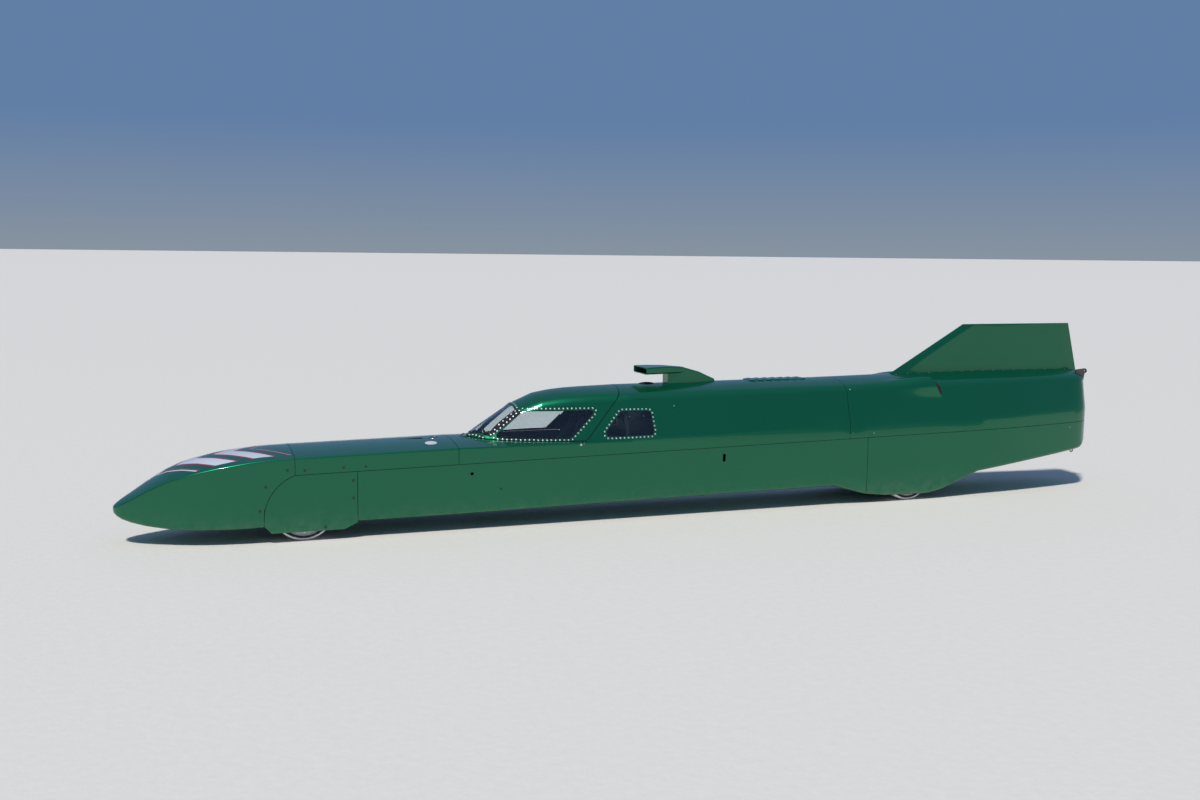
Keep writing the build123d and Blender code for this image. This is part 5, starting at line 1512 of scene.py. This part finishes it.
# %% [markdown]
# The headrest and the two pads beside the helmet are blocks of foam. A box with rounded edges, stuffed until
# it crowns, gives them their full look, and shallow stitched channels break up the faces.

# %% Headrest cushion and head surround
STITCH_SIDE, STITCH_BEHIND_FRONT = 0.048, 0.018
SURROUND_LOW, SURROUND_HIGH = Vector((0.362, 0.0945, 0.578)), Vector((0.575, 0.138, 0.712))


def soft_block(name, low, high, shrink, edge, voxel, reach):
    """A block with rounded edges, stuffed until it crowns."""
    shape = block(name, high - low - Vector((2, 2, 2)) * shrink, (low + high) / 2)
    return stuffed(bevelled(shape, edge, 3), voxel, reach)


def rest_channels(co):
    """An upright channel near each side of the headrest, and one round its front edge."""
    upright = groove(abs(co.y) - STITCH_SIDE, 0.006, 0.005)
    return max(upright, groove(co.x - rest_high.x + STITCH_BEHIND_FRONT, 0.004, 0.003))


rest_low, rest_high = (Vector(corner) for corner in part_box("headrest"))
head_cushion = soft_block("head_cushion", rest_low, rest_high, shrink=0.004, edge=0.010, voxel=0.0045,
                          reach=0.0045)
sewn(head_cushion, rest_channels)
finish_piece(head_cushion, body_of["headrest"], seat_cloth, "cushion_cloth")
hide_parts("headrest")

surround_middle = (SURROUND_LOW.z + SURROUND_HIGH.z) / 2
for side_name, side in SIDES:
    near, far = sorted((side * SURROUND_LOW.y, side * SURROUND_HIGH.y))
    low = Vector((SURROUND_LOW.x, near, SURROUND_LOW.z))
    high = Vector((SURROUND_HIGH.x, far, SURROUND_HIGH.z))
    pad = soft_block(f"head_surround_{side_name}", low, high, shrink=0.003, edge=0.009, voxel=0.0055,
                     reach=0.004)
    sewn(pad, lambda co: groove(co.z - surround_middle, 0.006, 0.003))
    finish_piece(pad, "chassis", grip_foam, "grip_black")
print("head cushion", len(head_cushion.data.polygons), "faces")

# %% [markdown]
# A bent sheet behind the main hoop guards the driver's head, and two flat brackets carry the pads. The
# sheet follows a plan with two rounded corners and has a pressed swage along its middle.

# %% Brackets that hold the surround, and the guard behind the hoop
GUARD_HALF, GUARD_FRONT, GUARD_REAR, GUARD_LOW, GUARD_HIGH = 0.150, 0.312, 0.012, 0.505, 0.716
GUARD_CORNER, GUARD_WALL, SWAGE_DEEP, SWAGE_HALF, SWAGE_CENTRE = 0.022, 0.002, 0.0035, 0.30, 0.15
BRACKET_SIZE, BRACKET_CORNER = (0.215, 0.0025, 0.05), 0.012
BRACKET_X, BRACKET_Y, BRACKET_Z = 0.462, 0.1405, 0.645
GUARD_SCREW_X, GUARD_SCREW_Z, GUARD_SCREW_OUT = (0.288, 0.190, 0.092), 0.6305, 0.0001
BRACKET_SCREW_X, BRACKET_SCREW_Y = (0.385, 0.54), 0.1418


def guard_path(share):
    """Point of the guard's plan: up one side, round its corner and across, and the same mirrored."""
    side_run, arc = GUARD_FRONT - GUARD_CORNER - GUARD_REAR, GUARD_CORNER * pi / 2
    half_front = GUARD_HALF - GUARD_CORNER
    half = side_run + arc + half_front
    gone, across = 2 * half * min(share, 1 - share), 1 if share < 0.5 else -1
    if gone < side_run:
        return Vector((GUARD_REAR + gone, across * GUARD_HALF))
    if gone < side_run + arc:
        turn = (gone - side_run) / GUARD_CORNER
        out = half_front + GUARD_CORNER * cos(turn)
        return Vector((GUARD_FRONT - GUARD_CORNER * (1 - sin(turn)), across * out))
    return Vector((GUARD_FRONT, across * (half - gone)))


def guard_place(u, v):
    """Point of the guard, pressed in along its middle."""
    plan = guard_path(u)
    swage = SWAGE_DEEP * groove(v - 0.5, SWAGE_HALF, 1.0)
    inward = Vector((SWAGE_CENTRE - plan.x, -plan.y)).normalized() * swage
    return Vector((plan.x + inward.x, plan.y + inward.y, GUARD_LOW + (GUARD_HIGH - GUARD_LOW) * v))


def bracket(side):
    """A flat strap with rounded corners."""
    strap = block("bracket", BRACKET_SIZE, (BRACKET_X, side * BRACKET_Y, BRACKET_Z))
    return bevelled(strap, BRACKET_CORNER, 4, lambda edge: not along_car(edge))


guard = sheet("head_guard", 90, 16, guard_place, GUARD_WALL, sharp=30)
guard = joined("head_guard", [guard, bracket(1), bracket(-1)])
finish_piece(guard, "chassis", frame_black, "frame_steel")
guard_spots = [(Vector((x, side * y, z)), Vector((0, side, 0)))
               for row, y, z in ((GUARD_SCREW_X, GUARD_HALF + GUARD_SCREW_OUT, GUARD_SCREW_Z),
                                 (BRACKET_SCREW_X, BRACKET_SCREW_Y, BRACKET_Z))
               for side in (1, -1) for x in row]
guard_screws = copies("guard_screws", button_screw(0.006, 0.0024), guard_spots)
finish_piece(guard_screws, "chassis", screw_steel, "bright_steel")
print("guard", len(guard.data.polygons), "faces")

# %% [markdown]
# ## Harness
# Flat webbing is laid on the cushion with rays, a little above it, and ends at a round cam-lock buckle.

# %% Belts laid on the cushion
BELT_HALF, CROTCH_HALF, BELT_THICK, BUCKLE_SHARE = 0.0235, 0.018, 0.0016, 0.345
RAY_HIGH, PAD_HIGH = 0.25, 0.03
SHOULDER = [(0.975, 0.070, 0.002), (0.80, 0.066, 0.002), (0.60, 0.055, 0.003), (0.47, 0.036, 0.006),
            (BUCKLE_SHARE + 0.045, 0.020, 0.010)]
LAP = [(0.375, 0.168, 0.002), (0.36, 0.110, 0.004), (BUCKLE_SHARE + 0.005, 0.034, 0.010)]
CROTCH = [(0.17, 0.0, 0.002), (0.25, 0.0, 0.004), (BUCKLE_SHARE - 0.04, 0.0, 0.010)]
cushion_tree = surface_tree(seat_cushion)


def on_seat(share, y, rise):
    """Point a rise above the cushion's face."""
    normal = smooth_normal(share)
    foot = along_line(SEAT_LINE, share)[0] + Vector((0, y, 0))
    hit = cushion_tree.ray_cast(foot + normal * RAY_HIGH, -normal)[0]
    return (hit or foot + normal * PAD_HIGH) + normal * rise


def belt(name, stations, half=BELT_HALF):
    """Webbing through (share, y, rise) stations, flat on the seat."""
    def place(u, v):
        spot = u * (len(stations) - 1)
        i = min(int(spot), len(stations) - 2)
        here, there = stations[i:i + 2]
        share, y, rise = (a + (b - a) * smooth_step(spot - i) for a, b in zip(here, there))
        run = Vector(((there[0] - here[0]) * SEAT_LENGTH, there[1] - here[1])).normalized()
        offset = (v - 0.5) * 2 * half
        return on_seat(share + offset * run.y / SEAT_LENGTH, y - offset * run.x, rise)
    return sheet(name, 12 * (len(stations) - 1), 8, place, BELT_THICK, Vector((0.4, 0, 1)), 40)


def mirrored(stations, side):
    """The stations on one side of the car."""
    return [(share, side * y, rise) for share, y, rise in stations]


belts = []
for side in (1, -1):
    belts += [belt("shoulder", mirrored(SHOULDER, side)), belt("lap", mirrored(LAP, side))]
belts.append(belt("crotch", CROTCH, CROTCH_HALF))
finish_piece(joined("harness", belts), "chassis", belt_blue, "cushion_cloth")
print("belts", len(belts))

# %% Buckle
BUCKLE_PROFILE = [(0.0, 0), (0.0, 0.030), (0.003, 0.032), (0.010, 0.032), (0.012, 0.030), (0.012, 0.020),
                  (0.015, 0.019), (0.0155, 0.006), (0.014, 0)]
PADDLE_SIZE, PADDLE_Z, PADDLE_EDGE, BUCKLE_RISE = (0.044, 0.013, 0.004), 0.0165, 0.0015, 0.012
paddle = bevelled(block("paddle", PADDLE_SIZE, (0, 0, PADDLE_Z)), PADDLE_EDGE, 2)
buckle = joined("buckle", [turned("lock", BUCKLE_PROFILE, "Z", 40), paddle])
buckle_spot = (on_seat(BUCKLE_SHARE, 0, BUCKLE_RISE), smooth_normal(BUCKLE_SHARE))
buckle_set = copies("harness_buckle", buckle, [buckle_spot])
finish_piece(buckle_set, "chassis", machined_steel, "bright_steel")
print("buckle", len(buckle_set.data.polygons), "faces")

# %% [markdown]
# ## Dash and steering wheel
# The gauges are plain dials with ticks and a needle, set in turned bezels. One gauge is built facing up,
# each part with its own material, and copied to the dash. Toggle switches stand in a row below.

# %% A gauge
GAUGE_RADIUS, TICKS, TICK_CIRCLE, TICK_Z, TICK_LONG, TICK_SHORT = 0.026, 11, 0.0188, 0.0019, 0.0045, 0.0028
TICK_FIRST, TICK_STEP, NEEDLE_TURN = 225, 27, radians(200)
BEZEL_PROFILE = [(0, GAUGE_RADIUS - 0.004), (0.004, GAUGE_RADIUS - 0.003), (0.006, GAUGE_RADIUS - 0.0015),
                 (0.005, GAUGE_RADIUS), (0, GAUGE_RADIUS + 0.0005)]
DIAL_PROFILE = [(0.0001, 0), (0.0001, GAUGE_RADIUS - 0.0035), (0.0016, GAUGE_RADIUS - 0.0035), (0.0016, 0)]
BOSS_PROFILE = [(0.0016, 0), (0.0016, 0.0032), (0.0042, 0.0028), (0.0046, 0)]


def tick(number):
    """One mark on the dial, longer on every second one."""
    turn = radians(TICK_FIRST - TICK_STEP * number)
    size = (TICK_SHORT if number % 2 else TICK_LONG, 0.0011, 0.0005)
    return block("tick", size, (TICK_CIRCLE * cos(turn), TICK_CIRCLE * sin(turn), TICK_Z), turn)


def needle():
    """A thin cone laid along the dial and turned to its reading."""
    cone = settle(start(bpy.ops.mesh.primitive_cone_add, "needle", vertices=6, radius1=0.0012, radius2=0.0003,
                        depth=0.021, rotation=(0, pi / 2, 0), location=(0.007, 0, 0.0030)))
    cone.rotation_euler = (0, 0, NEEDLE_TURN)
    return settle(cone)


def gauge():
    """Bezel, dial, ticks, needle and boss facing +Z."""
    parts = [(turned("bezel", BEZEL_PROFILE, "Z", 40), machined_steel),
             (turned("dial", DIAL_PROFILE, "Z", 40), seal_and_shade_black)]
    parts += [(tick(number), cap_white) for number in range(TICKS)]
    parts += [(needle(), needle_red), (turned("boss", BOSS_PROFILE, "Z", 16), needle_red)]
    for part, material in parts:
        part.data.materials.append(material)
    return joined("gauge", [part for part, material in parts])


# %% Gauges and switches on the dash
DASH_FACE, GAUGE_Z, GAUGE_Y = 1.1716, 0.437, (-0.148, -0.080, 0.080, 0.148)
TOGGLE_Z, TOGGLE_Y = 0.395, (-0.17, -0.145, -0.12, -0.095, -0.07, 0.07, 0.095, 0.12)
NUT_PROFILE = [(0, 0), (0, 0.0058), (0.0022, 0.0058), (0.0028, 0.0045), (0.003, 0)]
BAT_PROFILE = [(0.002, 0), (0.002, 0.0018), (0.014, 0.0028), (0.016, 0.0024), (0.017, 0)]
TO_DRIVER = Vector((-1, 0, 0))
gauges = copies("gauges", gauge(), [(Vector((DASH_FACE, y, GAUGE_Z)), TO_DRIVER) for y in GAUGE_Y])
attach(gauges, "chassis")
toggle = joined("toggle", [turned("nut", NUT_PROFILE, "Z", 6), turned("bat", BAT_PROFILE, "Z", 12)])
toggles = copies("toggles", toggle, [(Vector((DASH_FACE, y, TOGGLE_Z)), TO_DRIVER) for y in TOGGLE_Y])
finish_piece(toggles, "chassis", machined_steel, "bright_steel")
print("gauges", len(GAUGE_Y), "switches", len(TOGGLE_Y))

# %% [markdown]
# Foam sleeves with moulded ribs cover the wheel's two grips, a turned cap with six small screws closes the
# hub, and a red button lies under each thumb.

# %% Foam sleeves, buttons and hub cap on the steering wheel
GRIP_X, GRIP_Y, GRIP_LOW, GRIP_HIGH, GRIP_INNER, GRIP_OUTER = 1.096, 0.112, 0.383, 0.469, 0.0122, 0.0148
GRIP_RIBS, RIB_DEEP = 9, 0.0012
HUB_CAP_X, HUB_SCREW_X, HUB_Z, HUB_SCREW_CIRCLE = 1.0859, 1.0830, 0.426, 0.0165
BUTTON_X, BUTTON_Y, BUTTON_Z = 1.0905, 0.070, 0.430
HUB_PROFILE = [(0, 0), (0, 0.0225), (0.002, 0.0225), (0.003, 0.021), (0.003, 0.012), (0.0045, 0.011),
               (0.005, 0)]
BUTTON_PROFILE = [(0, 0), (0, 0.0062), (0.003, 0.0062), (0.003, 0.005), (0.006, 0.0048), (0.0066, 0)]
wheel_body = body_of["steering_wheel"]

rib_step = (GRIP_HIGH - GRIP_LOW) / GRIP_RIBS
grip_profile = [(GRIP_LOW, GRIP_INNER)]
for base in [GRIP_LOW + rib_step * i for i in range(GRIP_RIBS)]:
    grip_profile += [(base, GRIP_OUTER - RIB_DEEP), (base + 0.25 * rib_step, GRIP_OUTER),
                     (base + 0.75 * rib_step, GRIP_OUTER)]
grip_profile += [(GRIP_HIGH, GRIP_OUTER - RIB_DEEP), (GRIP_HIGH, GRIP_INNER)]
sleeves = [placed(turned("sleeve", grip_profile, "Z", 28, 50), GRIP_X, side * GRIP_Y, 0) for side in (1, -1)]
finish_piece(joined("grip_sleeves", sleeves), wheel_body, grip_foam, "grip_black")

screw_spots = [Vector((HUB_SCREW_X, HUB_SCREW_CIRCLE * cos(turn), HUB_Z + HUB_SCREW_CIRCLE * sin(turn)))
               for turn in SIX_TURNS]
caps = [copies("hub_cap", turned("hub", HUB_PROFILE, "Z", 32), [(Vector((HUB_CAP_X, 0, HUB_Z)), TO_DRIVER)]),
        copies("hub_screws", button_screw(0.0024, 0.0014), [(spot, TO_DRIVER) for spot in screw_spots])]
finish_piece(joined("hub_fittings", caps), wheel_body, machined_steel, "bright_steel")
button_spots = [(Vector((BUTTON_X, side * BUTTON_Y, BUTTON_Z)), TO_DRIVER) for side in (1, -1)]
buttons = copies("thumb_buttons", turned("button", BUTTON_PROFILE, "Z", 20), button_spots)
finish_piece(buttons, wheel_body, needle_red, "grip_black")
print("grip profile", len(grip_profile), "points")

# %% [markdown]
# ## Parachute packs
# Each tube holds a canvas pack, stuffed like a cushion. Its end is closed by four flaps that meet under a
# locking strap with eyelets and a pin.

# %% Canvas packs
PACK_HEIGHTS, PACK_FACE, PACK_FRONT, PACK_RADIUS, PACK_SHRINK = (0.418, 0.560), -3.285, -2.804, 0.0487, 0.003
FLAPS_DEEP, DRAWSTRING, HOOPS_BEHIND, DIAGONAL = 0.012, 0.036, (0.03, 0.19, 0.35), 1.414
shrunk = PACK_RADIUS - PACK_SHRINK
PACK_PROFILE = [(PACK_FACE + PACK_SHRINK, 0), (PACK_FACE + 0.004, 0.7 * shrunk), (PACK_FACE + 0.010, shrunk),
                (PACK_FRONT - 0.010, shrunk), (PACK_FRONT - PACK_SHRINK, 0.8 * shrunk),
                (PACK_FRONT - PACK_SHRINK, 0)]


def flaps_on(height):
    """Flap edges across the end, a drawstring channel round it, and hoops of stitching round the side."""
    def depth_at(co):
        inwards = co.x - PACK_FACE
        if inwards < FLAPS_DEEP:
            from_edge = abs(abs(co.y) - abs(co.z - height)) / DIAGONAL
            from_string = Vector((co.y, co.z - height)).length - DRAWSTRING
            return max(groove(from_edge, 0.0035, 0.0022), groove(from_string, 0.0035, 0.0018))
        return groove(min(abs(inwards - hoop) for hoop in HOOPS_BEHIND), 0.006, 0.003)
    return depth_at


packs = []
for number, height in enumerate(PACK_HEIGHTS):
    pack = placed(turned(f"canvas_pack_{number + 1}", PACK_PROFILE, "X", 48), 0, 0, height)
    stuffed(pack, voxel=0.0055, reach=0.0026)
    sewn(pack, flaps_on(height))
    finish_piece(pack, body_of["chute_packs"], pack_canvas, "pack_cloth")
    packs.append(pack)
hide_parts("chute_packs")
print("packs", len(packs))

# %% [markdown]
# A strap lies on each pack's end, a hair off the canvas. Three eyelets sit in it, and a wire pin with a
# pull loop runs through them, which is a bead along a straight run and most of a circle.

# %% Locking straps, eyelets and pins
STRAP_WIDE, STRAP_LONG, STRAP_THICK, STRAP_OFF = 0.020, 0.078, 0.0014, 0.0012
EYELET_RISES, EYELET_OUT, BEHIND_PACKS = (-0.024, 0.0, 0.024), 0.0006, -4
EYELET_PROFILE = [(0, 0.0026), (0.0016, 0.003), (0.0018, 0.0042), (0.0008, 0.0056), (0, 0.0056)]
PIN_OUT, PIN_WIRE, PIN_LOOP, PIN_LOOP_UP = 0.0034, 0.0014, 0.006, 0.034
PIN_RUN, PIN_TURNS = (-0.030, -0.015, 0.0, 0.015, 0.028), (0.5, 1.2, 2.0, 2.8, 3.6, 4.4, 5.2)
TO_REAR = Vector((-1, 0, 0))
pack_tree = surface_tree(*packs)


def on_pack(y, z):
    """Point on the packs' rear faces, a little behind them."""
    spot = pack_tree.ray_cast(Vector((BEHIND_PACKS, y, z)), -TO_REAR)[0]
    return (spot or Vector((PACK_FACE, y, z))) + TO_REAR * STRAP_OFF


def strap(height):
    """Webbing down the middle of a pack's end."""
    def place(u, v):
        return on_pack((u - 0.5) * STRAP_WIDE, height + (v - 0.5) * STRAP_LONG)
    return sheet("strap", 4, 20, place, STRAP_THICK, TO_REAR)


def eyelet(height):
    """A rolled ring, facing the rear."""
    ring = scaled(turned("eyelet", EYELET_PROFILE, "X", 20), -1, 1, 1)
    return placed(ring, *(on_pack(0, height) + TO_REAR * EYELET_OUT))


def pin(height):
    """A wire pin with a pull loop at its top."""
    foot = on_pack(0, height) + TO_REAR * PIN_OUT
    run = [Vector((0, 0, rise)) for rise in PIN_RUN]
    loop = [Vector((0, PIN_LOOP * sin(turn), PIN_LOOP_UP - PIN_LOOP * cos(turn))) for turn in PIN_TURNS]
    return bead("pin", [foot + step for step in run + loop], PIN_WIRE, closed=False)


straps = [strap(height) for height in PACK_HEIGHTS]
metalwork = []
for height in PACK_HEIGHTS:
    metalwork += [eyelet(height + rise) for rise in EYELET_RISES] + [pin(height)]
finish_piece(joined("pack_straps", straps), "chassis", belt_blue, "pack_cloth")
finish_piece(joined("pack_metalwork", metalwork), "chassis", machined_steel, "bright_steel")
print("eyelets and pins", len(metalwork))

# %% [markdown]
# The sheet metal of a parachute tube ends in a rolled lip, so that it can't cut the canvas on its way out.

# %% Rolled lips on the parachute tubes
LIP_PROFILE = [(-0.0005, 0.0490), (-0.0022, 0.0492), (-0.0032, 0.0505), (-0.0022, 0.0519), (-0.0005, 0.0521)]
LIP_IN = 0.0005
lip_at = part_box("chute_tubes")[0][0] + LIP_IN
tube_lips = [placed(turned("lip", LIP_PROFILE, "X", 56), lip_at, 0, height) for height in PACK_HEIGHTS]
finish_piece(joined("tube_lips", tube_lips), "chassis", machined_steel, "bright_steel")
print("tube lips", len(tube_lips))

# %% [markdown]
# ## Joints you can see
# The cage is welded from tubes. A weld is a ring where two bars meet, with the small even waves that a
# welder leaves: here a torus whose points are moved by a sine of their angle.

# %% Weld beads
HOOP_PLACES, BAR_HEIGHTS, BAR_Y, BAR_RADIUS = (0.3535, 1.1765), (0.150, 0.330), 0.2394, 0.0163
WELD_OUT, WELD_RADIUS, WAVE_COUNT, WAVE_HIGH = 0.0012, 0.0028, 14, 0.0009


def weld(centre):
    """A wavy ring about X."""
    ring = start(bpy.ops.mesh.primitive_torus_add, "weld", major_radius=BAR_RADIUS + WELD_OUT,
                 minor_radius=WELD_RADIUS, major_segments=36, minor_segments=6, rotation=(0, pi / 2, 0),
                 location=centre)
    settle(ring, 60)
    for vertex in ring.data.vertices:
        arm = vertex.co - centre
        vertex.co.x += WAVE_HIGH * sin(WAVE_COUNT * atan2(arm.z, arm.y))
    return ring


welds = [weld(Vector((x, side * BAR_Y, z))) for x in HOOP_PLACES for z in BAR_HEIGHTS for side in (1, -1)]
finish_piece(joined("weld_beads", welds), body_of["roll_cage"], frame_black, "frame_steel")
print("welds", len(welds))

# %% [markdown]
# With the canopy open, the panes' edges show from inside, where a thicker seal covers them. It is the
# window seal again, fatter and set below the skin.

# %% Seals inside the canopy
INNER = {"gap": 0.0012, "radius": 0.0034, "depth": 0.0048}
for side_name, side in SIDES:
    seal(f"inner_seal_{side_name}", "side", side, **INNER)
    seal(f"inner_quarter_seal_{side_name}", "quarter", side, **INNER)
seal("inner_front_seal", "front", 1, **INNER)
print("inner seals", INNER)

# %% [markdown]
# A last black bead closes the joint round the canopy. It lies on the hull's rim: along the deck, up the
# slanted joint, across the roof and back down the other side.

# %% Points round the canopy
RIM_RADIUS, RIM_IN, RIM_BACK, RIM_STEP = 0.0023, 0.003, 0.006, 0.008
JOINT_FOOT, JOINT_TOP = (0.633, 0.478), (0.361, 0.794)
DECK_FROM_X, DECK_POINTS, EDGE_FROM, EDGE_TO, EDGE_STEP = 1.290, 85, 0.500, 0.60, 0.001
NEAR_WALL, UNDER_WALL, ABOVE_DECK, NARROWEST = 0.003, 0.001, 0.0026, 0.012
JOINT_FROM_Z, JOINT_POINTS = 0.505, 32
ROOF_HALF, ROOF_STEP, ROOF_POINTS, ROOF_GUESS, ROOF_TRIES = 0.20, 0.01, 41, 0.80, 3


def joint_x(z):
    """Place of the slanted joint behind the canopy at a height."""
    share = (z - JOINT_FOOT[1]) / (JOINT_TOP[1] - JOINT_FOOT[1])
    return JOINT_FOOT[0] + (JOINT_TOP[0] - JOINT_FOOT[0]) * share


def along_deck(side):
    """Points under the canopy's lower edge, front to rear."""
    points = []
    for i in range(DECK_POINTS):
        x, wall, low = DECK_FROM_X - RIM_STEP * i, None, EDGE_FROM
        while wall is None and low < EDGE_TO:
            low += EDGE_STEP
            wall = from_side(closed_canopy, x, low, side)[0]
        deck = from_above(hull_skin, x, wall.y + side * NEAR_WALL)[0] if wall else None
        if deck and abs(wall.y) > NARROWEST:
            points.append(Vector((x, wall.y - side * UNDER_WALL, deck.z + ABOVE_DECK)))
    return points


def up_joint(side):
    """Points in the slanted joint, bottom to top."""
    heights = [JOINT_FROM_Z + RIM_STEP * i for i in range(JOINT_POINTS)]
    spots = [from_side(closed_canopy, joint_x(z) + RIM_BACK, z, side)[0] for z in heights]
    return [spot + Vector((-RIM_BACK, -side * RIM_IN, 0)) for spot in spots if spot]


def over_roof():
    """Points in the joint across the roof, left to right, each height found by trying again."""
    points = []
    for i in range(ROOF_POINTS):
        z = ROOF_GUESS
        for again in range(ROOF_TRIES):
            spot = from_above(closed_canopy, joint_x(z) + RIM_BACK, ROOF_HALF - ROOF_STEP * i)[0]
            z = spot.z if spot else z
        if spot:
            points.append(spot + Vector((-RIM_BACK, 0, -RIM_IN)))
    return points


# %% Seal round the canopy
left_rim, right_rim = [along_deck(side) + up_joint(side) for side in (1, -1)]
roof_rim = [spot for spot in over_roof() if spot.z > left_rim[-1].z]
canopy_seal = bead("canopy_seal", left_rim + roof_rim + right_rim[::-1], RIM_RADIUS, closed=False)
finish_piece(canopy_seal, "chassis", seal_and_shade_black, "grip_black")
print("canopy seal", len(left_rim), len(roof_rim), len(right_rim), "points")
